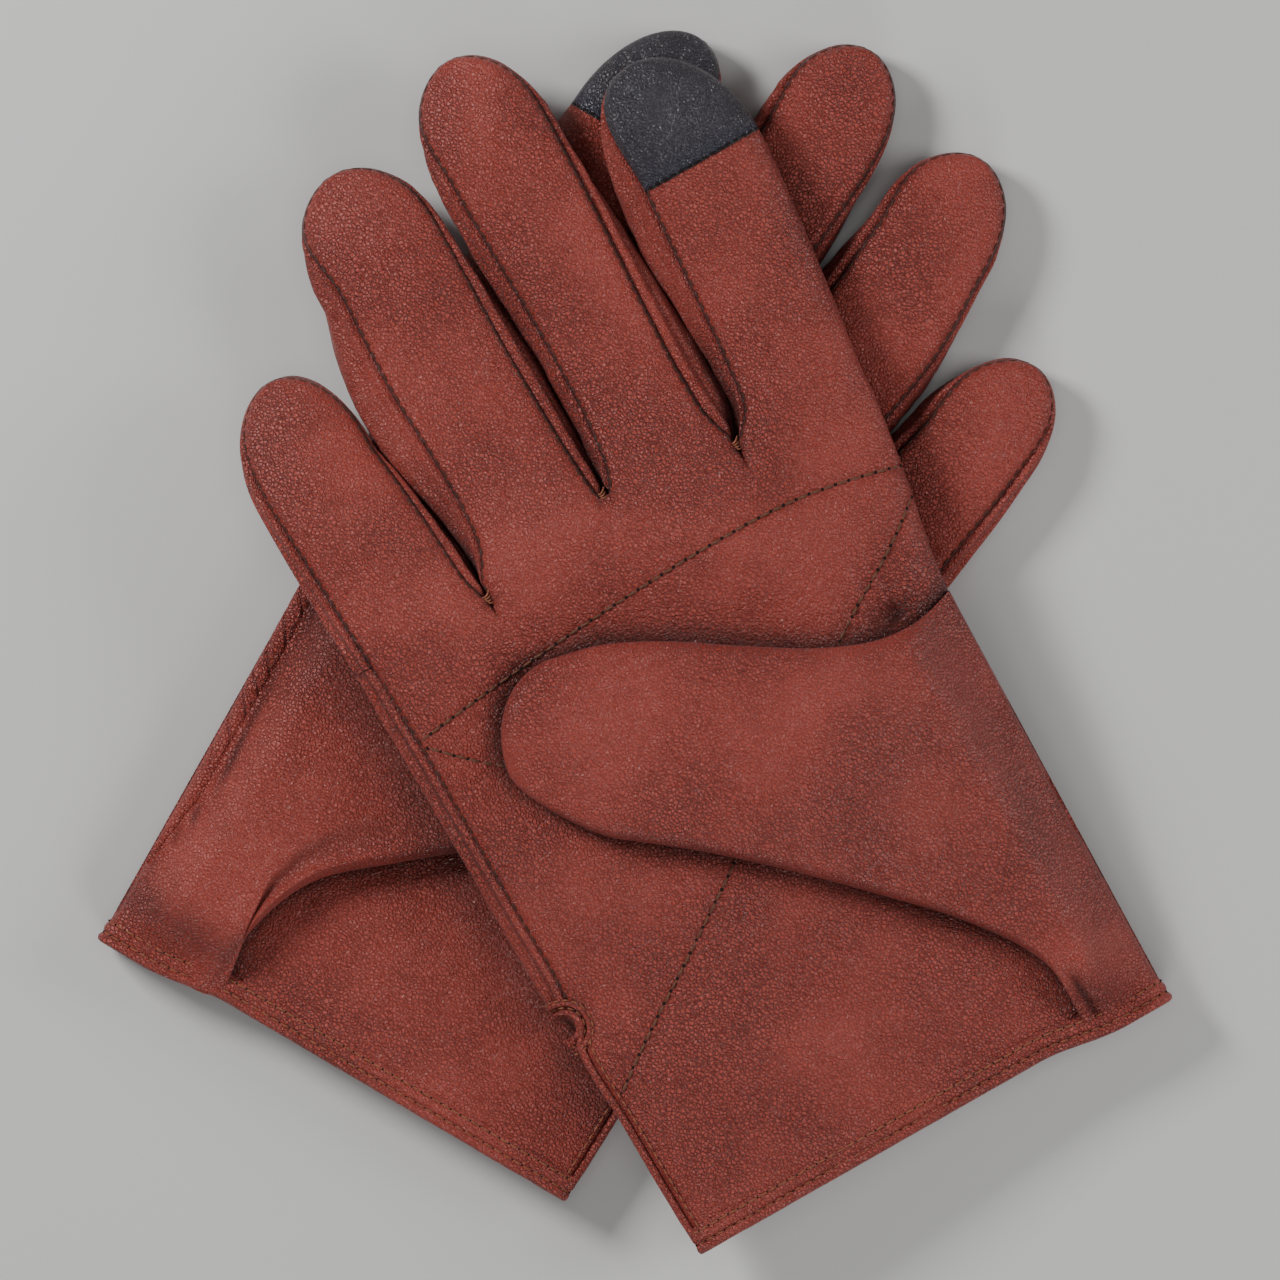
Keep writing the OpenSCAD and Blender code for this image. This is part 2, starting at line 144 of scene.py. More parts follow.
# The decorative rows sewn through the palm.
PALM_ROWS = [[(-55.0, 123.4), (-40, 125.2), (-20, 127.2), (0, 128.6), (20, 129.4), (40, 128.8),
              (52, 126.8), (62.6, 124.2)],
             [(-54.2, 121.4), (-50, 117.2), (-46, 113.4), (-41, 109.2), (-30, 100.5)],
             [(61.4, 117.2), (55, 112.2), (50, 108.8), (40, 102.8), (33, 98.2)],
             [(-5, 71.6), (-9, 68.6), (-20, 61.0), (-30, 54.2), (-40, 47.6), (-50, 40.6), (-54.6, 37.2)]]
VENT = (-58.4, 55.2)   # middle of the half-moon at the head of the side vent
SHAPES = {"right": dict(fingers=RIGHT_FINGERS, thumb=RIGHT_THUMB),
          "left": dict(fingers=LEFT_FINGERS, thumb=LEFT_THUMB)}

# Where the left fingers bend, beyond what the right glove holds down, and where the right ones do.
BENDS = {"right": dict(little=151, ring=151, middle=151, index=151),
         "left": dict(little=172, ring=197, middle=222)}
INDEX_ROOT = (52.469, 151)   # the index hinge's place in the right glove's own frame
RING_BEND_X = -18.583      # the left ring hinge's x in the left glove's own frame


# ---------------------------------------------------------------- where each glove lies
def joint(name):
    """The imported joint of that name."""
    return next(j for j in frame["joints"] if j["name"] == name)


def placement(name, x, y):
    """(origin, direction of x, direction of y) of a glove, from a hinge at (x, y) in its frame."""
    hinge = joint(name)
    along = np.array(hinge["axis"][:2])
    up = np.array([-along[1], along[0]])
    sign = 1 if name.startswith("right") else -1
    across = along * sign
    return np.array(hinge["pos_m"][:2]) * 1000 - across * x - up * y, across, up


PLACES = {"right": placement("right_index_bend", *INDEX_ROOT),
          "left": placement("left_ring_bend", RING_BEND_X, 197)}


def to_row(side, p):
    """Points of a glove's own frame in the row frame, still in millimetres."""
    origin, across, up = PLACES[side]
    xy = origin + p[..., 0:1] * across + p[..., 1:2] * up
    return np.concatenate([xy, p[..., 2:3]], -1)


def smooth(t):
    """0 to 1 with level ends."""
    t = np.clip(t, 0, 1)
    return t * t * (3 - 2 * t)


def bell(*offsets):
    """1 at no offset, falling away on every side."""
    return np.exp(-sum(v ** 2 for v in offsets))


def spline(table, at):
    """A smooth curve through the table's rows, read at the first column's value."""
    table = np.array(table, float)
    x, v = table[:, 0], table[:, 1:]
    slope = np.gradient(v, x, axis=0)
    at = np.clip(np.asarray(at, float), x[0], x[-1])
    k = np.clip(np.searchsorted(x, at, side="right") - 1, 0, len(x) - 2)
    h = (x[k + 1] - x[k])[..., None]
    t = (at - x[k])[..., None] / h
    return ((2 * t ** 3 - 3 * t ** 2 + 1) * v[k] + (t ** 3 - 2 * t ** 2 + t) * h * slope[k]
            + (3 * t ** 2 - 2 * t ** 3) * v[k + 1] + (t ** 3 - t ** 2) * h * slope[k + 1])


# ---------------------------------------------------------------- how the right glove drapes
DRAPE_FLAT, DRAPE_FALL = 64, 84
THUMB_RIDGE = np.array([[48.0, 66.0], [-22.0, 106.0]])
RIDGE_REACH, RIDGE_FALL = 25, 46
CAD_THUMB_GAP = 1.2


def lift(side, x, y):
    """Height of a glove's underside: the right one rises over the left hand and its thumb."""
    if side == "left":
        return np.zeros(np.broadcast(x, y).shape)
    x, y = np.broadcast_arrays(np.asarray(x, float), np.asarray(y, float))
    row = to_row("right", np.stack([x, y, x * 0], -1))[..., :2]
    origin, across, up = PLACES["left"]
    q = np.stack([(row - origin) @ across, (row - origin) @ up], -1)
    a, b = THUMB_RIDGE
    t = np.clip((q - a) @ (b - a) / ((b - a) @ (b - a)), 0, 1)
    away = np.linalg.norm(q - a - t[..., None] * (b - a), axis=-1)
    return ((HAND_T + LAY_GAP) * (1 - smooth((np.abs(q[..., 0]) - DRAPE_FLAT) / DRAPE_FALL))
            + (CAD_THUMB_GAP + THUMB_T) * (1 - smooth((away - RIDGE_REACH) / RIDGE_FALL)))


# ---------------------------------------------------------------- creases and undulations
def lattice(ix, iy, seed):
    """A fixed pseudo-random value from -1 to 1 at each whole-number point."""
    h = (ix * 374761393 + iy * 668265263 + seed * 974634777) & 0xFFFFFFFF
    h = ((h ^ (h >> 13)) * 1274126177) & 0xFFFFFFFF
    return ((h ^ (h >> 16)) & 0xFFFF) / 32767.5 - 1


def noise(x, y, size, seed=0):
    """Smooth noise from -1 to 1, with features about size millimetres across."""
    u, v = np.asarray(x, float) / size, np.asarray(y, float) / size
    iu, iv = np.floor(u).astype(np.int64), np.floor(v).astype(np.int64)
    fu, fv = smooth(u - iu), smooth(v - iv)
    low = lattice(iu, iv, seed) * (1 - fu) + lattice(iu + 1, iv, seed) * fu
    high = lattice(iu, iv + 1, seed) * (1 - fu) + lattice(iu + 1, iv + 1, seed) * fu
    return low * (1 - fv) + high * fv


def crotches(side):
    """The points where neighbouring fingers part: [(x, y), ...]."""
    rows = [SHAPES[side]["fingers"][f]["rows"][0] for f in FINGERS]
    return [(rows[0][4], 142.5), (rows[1][4], 149.5), (rows[2][4], 145.0)]


def root_levels(side):
    """How far up the hand the fingers part, from its outer edge to its thumb side."""
    return [142.0] + [y for _, y in crotches(side)] + [145.0]


def creases(side, x, y):
    """Undulations, puckers and creases of the leather, in millimetres of height."""
    seed = 7 if side == "right" else 23
    z = 0.45 * noise(x, y, 26, seed) + 0.22 * noise(x + 40, y, 11, seed + 1)
    z = z + 0.07 * noise(x * 1.2 + y * 0.5, y - x * 0.4, 4.2, seed + 2)
    z = z + 0.035 * noise(x - y * 0.6, y * 1.3 + x * 0.2, 1.9, seed + 3)
    for cx, cy in crotches(side):
        dx, dy = x - cx, y - cy
        r = np.hypot(dx, dy) + 1e-6
        turn = np.arctan2(dx, -dy)
        rays = np.sin(turn * 11 + 2.2 * noise(r, turn * 4, 3.0, seed + 5))
        z = z + 0.32 * rays * np.exp(-r / 6.5) * smooth((r - 0.8) / 2.5) * smooth((4 - dy) / 5)
    # puckers where the thumb's upper edge runs into the side of the hand
    dx, dy = x - 45.5, y - 95.5
    r = np.hypot(dx, dy) + 1e-6
    turn = np.arctan2(dx, dy)
    z = z - 2.8 * bell(dx / 3.4, (dy - 1.6) / 2.4)
    rays = 0.75 * np.sin(turn * 11 + 2 * noise(r, turn * 3, 4, seed + 6))
    z = z + rays * np.exp(-r / 7) * smooth((r - 1.5) / 3)
    # long soft folds that run from the thumb's root towards the middle of the palm
    z = z + 0.16 * np.sin((y - 0.35 * x) / 2.1 + 1.5 * noise(x, y, 9, seed + 8)) \
        * bell((x - 34) / 17, (y - 108) / 9)
    return z


# ---------------------------------------------------------------- meshes from grids
class Sheet:
    """A grid of points in a glove's own frame, with values from 0 to 1 for rubbed edges with painted dark
    lines, and for painted shade in recesses.
    """

    def __init__(self, points, worn_and_shaded=0.0, painted_shade=0.0):
        self.points = np.asarray(points, float)
        self.worn_and_shaded = np.zeros(self.points.shape[:2]) + worn_and_shaded
        self.painted_shade = np.zeros(self.points.shape[:2]) + painted_shade

    def normals(self):
        """Unit normals of the grid's points."""
        du = np.gradient(self.points, axis=1)
        dv = np.gradient(self.points, axis=0)
        n = np.cross(du, dv)
        size = np.linalg.norm(n, axis=-1, keepdims=True)
        flat = size[..., 0] < 1e-7
        n = n / np.maximum(size, 1e-7)
        n[flat] = (0, 0, 1)
        return n


def join(name, side, sheets, material, flip=(), normals=None):
    """One mesh object from one or more grids, with normals that carry over between pieces."""
    coords, faces, worn_and_shaded, painted_shade, given = [], [], [], [], []
    start = 0
    for k, sheet in enumerate(sheets):
        rows, cols = sheet.points.shape[:2]
        index = start + np.arange(rows * cols).reshape(rows, cols)
        quads = np.stack([index[:-1, :-1], index[:-1, 1:], index[1:, 1:], index[1:, :-1]], -1).reshape(-1, 4)
        turned = k in flip
        if side == "left":
            turned = not turned
        faces.append(quads[:, ::-1] if turned else quads)
        coords.append(sheet.points.reshape(-1, 3))
        worn_and_shaded.append(sheet.worn_and_shaded.reshape(-1))
        painted_shade.append(sheet.painted_shade.reshape(-1))
        n = (normals[k] if normals and normals[k] is not None else sheet.normals()).reshape(-1, 3)
        given.append(-n if k in flip else n)
        start += rows * cols
    coords = np.concatenate(coords)
    mesh = bpy.data.meshes.new(name)
    row = to_row(side, coords) / 1000
    mesh.from_pydata(row.tolist(), [], np.concatenate(faces).tolist())
    for label, values in (("worn_and_shaded", worn_and_shaded), ("painted_shade", painted_shade)):
        attribute = mesh.attributes.new(label, "FLOAT", "POINT")
        attribute.data.foreach_set("value", np.concatenate(values).astype(np.float32))
    rest = mesh.attributes.new("rest", "FLOAT_VECTOR", "POINT")
    rest.data.foreach_set("vector", row.astype(np.float32).ravel())
    turned_normals = turn_normals(side, np.concatenate(given))
    mesh.polygons.foreach_set("use_smooth", [True] * len(mesh.polygons))
    mesh.normals_split_custom_set_from_vertices(turned_normals.tolist())
    mesh.materials.append(material)
    obj = bpy.data.objects.new(name, mesh)
    bpy.context.collection.objects.link(obj)
    return obj


def turn_normals(side, n):
    """Normals of a glove's own frame in the row frame."""
    _, across, up = PLACES[side]
    xy = n[:, 0:1] * across + n[:, 1:2] * up
    return np.concatenate([xy, n[:, 2:3]], -1)


# ---------------------------------------------------------------- sections across the glove
def over(c, w, thick, mid, power, x):
    """Height of the upper half of a squarish oval at x."""
    u = np.clip(np.abs(x - c) / np.maximum(w, 1e-6), 0, 1)
    return mid + thick / 2 * (1 - u ** power) ** (1 / power)


def rounded(d, reach):
    """0 to 1 over the quarter circle of a rounded edge, at a distance d inside it."""
    return np.sqrt(np.maximum(1 - (1 - np.clip(d / reach, 0, 1)) ** 2, 0))


def level(at, whole):
    """No offset from a section, wherever the point is on its way round."""
    return np.zeros_like(at)


def ring_of(row, start, end, count, offset=level, facing=1):
    """Evenly spaced points round an oval section between two angles, moved off it by an offset.

    The offset moves them to the right of the way round, or with facing -1 to the left.
    """
    turn = np.radians(np.linspace(start, end, 160))
    cos, sin = np.cos(turn), np.sin(turn)
    x = row["c"] + row["w"] * np.sign(cos) * np.abs(cos) ** (2 / row["power"])
    z = row["mid"] + row["thick"] / 2 * np.sign(sin) * np.abs(sin) ** (2 / row["power"])
    way = np.concatenate([[0], np.cumsum(np.hypot(np.diff(x), np.diff(z)))])
    at = np.linspace(0, way[-1], count)
    x, z = np.interp(at, way, x), np.interp(at, way, z)
    dx, dz = np.gradient(x), np.gradient(z)
    size = np.maximum(np.hypot(dx, dz), 1e-9)
    out = facing * offset(at, way[-1]) * min(1, row["w"] / 4)
    return np.stack([x + out * dz / size, np.full(count, row["y"]), z - out * dx / size], -1)


def laid(side, points, worn_and_shaded=0.0, painted_shade=0.0):
    """A sheet from points of the flat glove, raised by the drape."""
    points = np.array(points)
    points[..., 2] += lift(side, points[..., 0], points[..., 1])
    return Sheet(points, worn_and_shaded, painted_shade)


# ---------------------------------------------------------------- the fingers
ACROSS = np.array([0, 0.016, 0.034, 0.054, 0.078, 0.108, 0.145, 0.19, 0.24, 0.29, 0.345, 0.4, 0.45])
ACROSS_FRONT = np.concatenate([ACROSS, [0.5], 1 - ACROSS[::-1]])
EDGE_ROLL = np.sin(np.linspace(0.34, 1, 17) * math.pi / 2)
ACROSS_INDEX = np.concatenate([ACROSS, EDGE_ROLL])
FOLD_TURNS = [-3, -9, -18, -28]    # section angles of the columns that fold under an edge
SEAM_RISE = 0.4
SEAM_IN = 0.62
FORK_TURN = 55                     # section angle of the seams on the back of a finger
STRIP_COLS = 24                    # points across a side strip
BACK_COLS = {"little": 90, "ring": 40, "middle": 40, "index": 40}   # points across a finger's back


def seam_turn(row, seam):
    """Section angle of a seam's place in a row, from the edge on its side."""
    inside = abs(seam - row["c"]) / row["w"]
    return math.degrees(math.acos(min(0.9999, inside) ** (row["power"] / 2)))


def seam_dip(d):
    """Height of the leather at a distance from its sewn edge: turned down, then a low ridge."""
    return 0.2 * bell((d - 2.2) / 1.0) - 0.85 * bell(d / 0.65)


def back_creases(side, grid):
    """Height added to the lower half of a back by the leather's undulations."""
    below = smooth((4 - grid[..., 2]) / 2)
    return 0.5 * creases(side, grid[..., 0] + 70, grid[..., 1] + 90) * below


def finger_rows(side, name):
    """The rows of a finger, from the crotches to the tip: seams, silhouette and section of each."""
    shape = SHAPES[side]["fingers"][name]
    table = np.array(shape["rows"], float)
    k = FINGERS.index(name)
    ends = root_levels(side)
    tip_x, tip_y = shape["tip"]
    t = np.concatenate([np.linspace(0, 0.3, 10), np.linspace(0.34, 1, 14)])
    straight = np.arange(ROOT_ROWS_END, table[-1, 0], 1.3)[1:]
    slanted = [(ends[k] + a * (ROOT_ROWS_END - ends[k]), ends[k + 1] + a * (ROOT_ROWS_END - ends[k + 1]))
               for a in t]
    rows = []
    for yu, yr in slanted + [(y, y) for y in straight]:
        outer_u, seam_u = spline(table, yu)[:2]
        seam_r, outer_r = spline(table, yr)[2:]
        up = smooth(((yu + yr) / 2 - ends[k]) / 18)
        thick = HAND_T + (FINGER_T - HAND_T) * up
        rows.append(dict(yu=yu, yr=yr, y=(yu + yr) / 2, seam_u=seam_u, seam_r=seam_r,
                         c=(outer_u + outer_r) / 2, w=(outer_r - outer_u) / 2,
                         thick=thick, mid=thick / 2, power=HAND_POWER - 2.0 * up, tip=0.0))
    last = dict(rows[-1])
    for turn in np.linspace(0, math.pi / 2, 20)[1:]:
        row = dict(last)
        row["c"] = last["c"] + (tip_x - last["c"]) * math.sin(turn)
        row["w"] = max(last["w"] * math.cos(turn), 0.02)
        row["yu"] = row["yr"] = row["y"] = table[-1, 0] + (tip_y - table[-1, 0]) * math.sin(turn)
        keep = (1 - smooth(turn / 0.9)) * math.cos(turn)
        keep_u = (1 - smooth(turn / 1.45)) * math.cos(turn) if name == "index" else keep
        row["seam_u"] = row["c"] - row["w"] + (last["seam_u"] - last["c"] + last["w"]) * keep_u
        row["seam_r"] = row["c"] + row["w"] - (last["c"] + last["w"] - last["seam_r"]) * keep
        row["thick"] = last["thick"] * max(math.cos(turn), 0.01) ** 0.55
        row["tip"] = float(smooth(turn / 1.4))
        rows.append(row)
    return rows


def front_height(side, row, x, y, d_u, d_r):
    """Height of a finger's front at x, with its edges turned down along the seams."""
    z = over(row["c"], row["w"], row["thick"], row["mid"], row["power"], x)
    rise = SEAM_RISE * (1 - 0.75 * row["tip"])
    return z + seam_dip(d_u) + seam_dip(d_r) + rise + creases(side, x, y) * (1 - 0.6 * row["tip"])


def finger_front(side, name, rows):
    """The grid of a finger's front; the index folds round its thumb-side edge."""
    folds = name == "index"
    share = ACROSS_INDEX if folds else ACROSS_FRONT
    grid, worn_and_shaded = [], []
    for row in rows:
        x = row["seam_u"] + share * (row["seam_r"] - row["seam_u"])
        y = row["yu"] + share * (row["yr"] - row["yu"])
        d_u = x - row["seam_u"]
        d_r = np.full_like(x, FAR_OFF) if folds else row["seam_r"] - x
        z = front_height(side, row, x, y, d_u, d_r)
        if folds:
            z = z - (SEAM_RISE + creases(side, x, y)) * smooth((share - 0.8) / 0.2) * (1 - row["tip"])
        line = np.stack([x, y, z], -1)
        start = line[:1] + [[0.25 * min(1, row["w"] / 4), 0, -1.1 * min(1, row["w"] / 5)]]
        if folds:
            turn = np.radians(FOLD_TURNS)
            u = np.cos(turn) ** (2 / row["power"])
            end = np.stack([row["c"] + row["w"] * u, np.full(len(turn), row["yr"]),
                            row["mid"] - row["thick"] / 2 * np.abs(np.sin(turn)) ** (2 / row["power"])], -1)
        else:
            end = line[-1:] + [[-0.25 * min(1, row["w"] / 4), 0, -1.1 * min(1, row["w"] / 5)]]
        grid.append(np.concatenate([start, line, end]))
        # a rubbed tone near the seams, which right at a seam and on the tucked-under columns is a painted
        # dark shade line
        edge = np.exp(-d_u / 1.6) + np.exp(-d_r / 1.6)
        worn_and_shaded.append(np.concatenate([[1], np.clip(edge, 0, 1), np.ones(len(end))]))
    return np.array(grid), np.array(worn_and_shaded)


def gap_beside(side, name, sign, y):
    """Distance from a finger's outer edge to the edge of the finger beside it."""
    beside = FINGERS[FINGERS.index(name) + sign]
    own = spline(SHAPES[side]["fingers"][name]["rows"], y)
    other = spline(SHAPES[side]["fingers"][beside]["rows"], y)
    return float(other[0] - own[3]) if sign > 0 else float(own[0] - other[3])


def strip_roll(sign, above_root, y, gap):
    """How far a side strip stands out: a roll by the seam, a valley, then a belly that fills the gap."""
    roll, height = (3.3, 1.0) if sign > 0 else (2.6, 0.75)
    fill = max(gap, 0) / 2 + 1.05

    def offset(at, whole):
        past = at - 1.0
        bump = height * np.sin(math.pi * np.clip(past / roll, 0, 1)) ** 0.7
        valley = 0.3 * bell((past - roll) / 0.5)
        sink = 0.9 * math.exp(-(max(above_root, 0) / 1.2) ** 2)
        wrinkle = 0.16 * np.sin(at * 1.3 + 2.5 * noise(y, at, 3.4, 31 + sign)) * np.clip(at / 4, 0, 1)
        belly = fill * bell((at / whole - 0.62) / 0.17) * smooth((72 - above_root) / 30)
        return -0.95 + bump - valley + wrinkle - sink + belly
    return offset


def finger_strip(side, name, rows, sign):
    """One side strip of a finger, from under the front seam to the seam on the back."""
    root_y = root_levels(side)[FINGERS.index(name) + (1 if sign > 0 else 0)]
    grid = []
    for row in rows:
        local = dict(row, y=row["yr"] if sign > 0 else row["yu"])
        seam = row["seam_r"] if sign > 0 else row["seam_u"]
        turn = seam_turn(row, seam - sign * 0.9 * min(1, row["w"] / 5))
        gap = gap_beside(side, name, sign, local["y"])
        offset = strip_roll(sign, local["y"] - root_y, local["y"], gap)
        start, end = (turn, -FORK_TURN) if sign > 0 else (180 - turn, 180 + FORK_TURN)
        grid.append(ring_of(local, start, end, STRIP_COLS, offset, facing=-sign))
    return np.array(grid)


def outer_roll(left):
    """The two ridges of the leather that wraps round the outer edge, at a distance from the seam."""
    return (0.65 * bell((left - 1.6) / 0.8) - 0.55 * bell((left - 3.1) / 0.45)
            + 0.25 * bell((left - 4.3) / 0.7) - 0.8 * bell(left / 0.55))


def wrap_shade(left):
    """The painted shade along the outer edge: dark lines at the seam, and between its two ridges."""
    return 0.85 * bell((left - 3.1) / 0.38) + 0.85 * bell(left / 0.5)


def from_end(line):
    """Distance of each point of a section from its last point, along the section."""
    steps = np.hypot(np.diff(line[:, 0]), np.diff(line[:, 2]))
    return np.concatenate([np.cumsum(steps[::-1])[::-1], [0]])


def back_rows(rows):
    """A finger's rows for its back, which run straight across and start below the crotches."""
    first = rows[0]
    start = 142.5 if rows[0]["yu"] < 142.2 else 138
    lead = [dict(first, y=y, yu=y, yr=y) for y in np.linspace(start, first["y"], 4)[:-1]]
    return lead + [dict(r, yu=r["y"], yr=r["y"]) for r in rows]


def finger_back(side, name, rows):
    """The back of a finger; on the little finger it wraps round the outer edge to the seam."""
    grid, shade = [], []
    for row in back_rows(rows):
        start = -12 if name == "index" else -FORK_TURN + 4
        end = -(180 - FORK_TURN) - 4
        if name == "little":
            end = -180 - seam_turn(row, row["seam_u"] + 0.5 * min(1, row["w"] / 5))

        def offset(at, whole):
            rise = 0.3 * (1 - row["tip"]) * float(smooth((row["y"] - 146) / 14))
            rise -= 0.2 * (1 - float(smooth((row["y"] - 142) / 1.5)))
            if name != "little":
                return np.full_like(at, -rise)
            left = whole - at
            return -rise * np.clip(left / 6, 0, 1) - outer_roll(left) * (1 - row["tip"])
        grid.append(ring_of(row, start, end, BACK_COLS[name], offset))
        # painted shade along the little finger's outer edge
        dark = wrap_shade(from_end(grid[-1])) * (1 - row["tip"])
        shade.append(dark if name == "little" else np.zeros(BACK_COLS[name]))
    grid = np.array(grid)
    grid[..., 2] += back_creases(side, grid)
    return grid, np.array(shade)


# ---------------------------------------------------------------- the hand
CUFF_ROWS = 104        # rows of points from the cuff to the fingers
THIN = 0.02            # the least width or thickness of a lining's section


def cuff_y(x):
    """The cuff's edge, which hangs a little lower below the thumb."""
    return -2.4 * smooth((np.asarray(x, float) - 26) / 20)


def hand_edges(y):
    """(outer edge, side seam, thumb-side edge) of the hand, with the notch of the vent's half-moon."""
    edges = spline(HAND_EDGES, y)
    notch = 2.3 * np.exp(-((np.asarray(y, float) - VENT[1] + 1.0) / 2.9) ** 4)
    return edges[..., 0] + notch, edges[..., 1] + 0.6 * notch, edges[..., 2]


def hand_row(y):
    """The hand's section at y."""
    outer, _, radial = hand_edges(y)
    return dict(c=(outer + radial) / 2, w=(radial - outer) / 2, y=y,
                thick=HAND_T, mid=HAND_T / 2, power=HAND_POWER)


def hand_height(x, y, wider=0.0):
    """Height of the hand's palm side before creases."""
    row = hand_row(y)
    return over(row["c"], row["w"] + wider, HAND_T, row["mid"], HAND_POWER, x)


def palm_level(x, y):
    """Height of the palm's smooth surface."""
    return hand_height(x, y) + 0.25


def to_segment(x, y, a, b):
    """Distance of (x, y) from the straight line between two points."""
    step = b - a
    t = np.clip(((x - a[0]) * step[0] + (y - a[1]) * step[1]) / max(step @ step, 1e-9), 0, 1)
    return np.hypot(x - a[0] - t * step[0], y - a[1] - t * step[1])


def thumb_depth(side, x, y):
    """How far (x, y) lies inside the folded thumb's outline; negative outside it."""
    base = thumb_grid(side)[0][::3]
    outline = np.concatenate([base[:, 0], base[::-1, -1]])
    away = np.full(np.broadcast(x, y).shape, FAR_OFF)
    inside = np.zeros(away.shape, bool)
    for a, b in zip(outline, np.roll(outline, -1, axis=0)):
        away = np.minimum(away, to_segment(x, y, a, b))
        if a[1] != b[1]:
            crossing = a[0] + (b[0] - a[0]) * (y - a[1]) / (b[1] - a[1])
            inside = inside ^ (((a[1] > y) != (b[1] > y)) & (x < crossing))
    return np.where(inside, away, -away)


def from_vent(x, y):
    """Distance of (x, y) from the middle of the vent's half-moon."""
    return np.hypot(x - VENT[0], y - VENT[1])


def to_rows(x, y):
    """Distance of (x, y) from the decorative rows sewn through the palm."""
    best = np.full(np.broadcast(x, y).shape, FAR_OFF)
    for row in PALM_ROWS:
        for a, b in zip(np.array(row[:-1], float), np.array(row[1:], float)):
            best = np.minimum(best, to_segment(x, y, a, b))
    return best


def palm_height(side, x, y):
    """Height of the palm, with creases, sewn rows, the vent's pit and the bed of the thumb."""
    _, seam, radial = hand_edges(y)
    z = palm_level(x, y) + creases(side, x, y) * smooth((radial - x) / 3)
    z = z + seam_dip(np.maximum(x - seam, 0)) - 0.34 * bell(to_rows(x, y))
    z = z - 1.7 * smooth((thumb_depth(side, x, y) + 5.5) / 10)
    z = z - 0.5 * smooth((radial - x) / -2 + 1) * (y < 97)
    return z - 2.6 * (1 - smooth((from_vent(x, y) - 2.6) / 1.4))


def beside_other(side, x, y):
    """How deep the painted shadow is on the left glove along the right glove's outer edge."""
    if side == "right":
        return np.zeros(np.broadcast(x, y).shape)
    x, y = np.broadcast_arrays(np.asarray(x, float), np.asarray(y, float))
    origin, across, up = PLACES["right"]
    place = to_row("left", np.stack([x, y, np.zeros_like(x)], -1))[..., :2] - origin
    gap = hand_edges(place @ up)[0] - place @ across
    return 0.62 * (1 - smooth(gap / 12)) * smooth((gap + 8) / 4)


def palm_painted_shade(side, x, y):
    """How deep the painted shade on the palm is: beside the thumb, at the crotches, at the thumb's puckers,
    round and in the vent's pit, and beside the right glove.
    """
    pairs = np.array(SHAPES[side]["thumb"]["pairs"], float)[::-1].mean(axis=1)
    above = smooth((y - np.interp(x, pairs[:, 0], pairs[:, 1])) / 20 + 0.5)
    reach = 2.5 + 3.0 * above
    shade = (0.6 + 0.3 * above) * smooth((thumb_depth(side, x, y) + reach) / reach)
    for cx, cy in crotches(side):
        shade = np.maximum(shade, 0.7 * bell(np.hypot(x - cx, (y - cy) * 1.2) / 1.8))
    shade = np.maximum(shade, 0.95 * bell((x - 46.5) / 3.6, (y - 97.2) / 2.2))
    pit = from_vent(x, y)
    rings = 0.85 * bell((pit - 4.6) / 0.45) + 0.8 * bell((pit - 6.2) / 0.4)
    rings = rings * smooth((y - VENT[1] + 6) / 2)
    hole = 0.95 * (1 - smooth((pit - 2.5) / 0.7))
    return np.maximum.reduce([shade, rings, beside_other(side, x, y), hole])


def palm_grid(side, fronts):
    """The palm's grid, whose last row is the first row of the four finger fronts."""
    top = np.concatenate([fronts["little"][0][:-1]] + [fronts[f][0][1:-1] for f in ("ring", "middle")]
                         + [fronts["index"][0][1:]])
    folds = len(FOLD_TURNS)
    body, fold = top[1:-folds], top[-folds:]
    _, seam, radial = hand_edges(body[:, 1])
    share_top = (body[:, 0] - seam) / (radial - seam)
    near = np.array([0, 0.45, 0.95, 1.5, 2.2, 3.1, 4.2]) / 113
    far = 1 - np.array([9, 7.4, 6.0, 4.7, 3.6, 2.6, 1.8, 1.1, 0.6, 0.25, 0.08, 0]) / 113
    between = np.linspace(near[-1], far[0], len(body) - len(near) - len(far) + 2)[1:-1]
    share_low = np.concatenate([near, between, far])
    low = cuff_y(-56 + 113 * share_low)
    v = np.concatenate([np.linspace(0, 0.8, CUFF_ROWS - 34), np.linspace(0.8, 1, 35)[1:]])[:, None]
    share = share_low + smooth((v - 0.55) / 0.45) * (share_top - share_low)
    y = low + v * (body[:, 1] - low)
    _, seam, radial = hand_edges(y)
    x = seam + share * (radial - seam)
    near_root = np.exp(-((body[:, 1] - y) / 3.0) ** 1.5)
    z = palm_height(side, x, y)
    z = z + near_root * (body[:, 2] - z)
    main = np.stack([x, y, z], -1)
    first = main[:, :1] + [0.25, 0, -1.1]
    turn = np.radians(FOLD_TURNS)
    row = hand_row(y[:, -1:])
    fold_x = row["c"] + row["w"] * np.cos(turn) ** 0.4
    fold_z = HAND_T / 2 * (1 - np.abs(np.sin(turn)) ** 0.4)
    folded = np.stack(np.broadcast_arrays(fold_x, row["y"], fold_z), -1)
    folded += near_root[:, -1:, None] * (fold - folded)
    grid = np.concatenate([first, main, folded], 1)
    grid[-1] = top
    sewn_edge = hand_edges(row["y"])[1]
    # a rubbed tone along the side seam and the sewn rows; right at the seam it is a painted dark shade line,
    # along the rows a slight painted shade
    worn_and_shaded = np.clip(np.exp(-np.maximum(x - sewn_edge, 0) / 1.6), 0, 1)
    worn_and_shaded = np.maximum(worn_and_shaded, 0.72 * bell(to_rows(x, y)))
    margin = ((0, 0), (1, folds))
    return grid, np.pad(worn_and_shaded, margin, constant_values=0.6), np.pad(palm_painted_shade(side, x, y), margin)


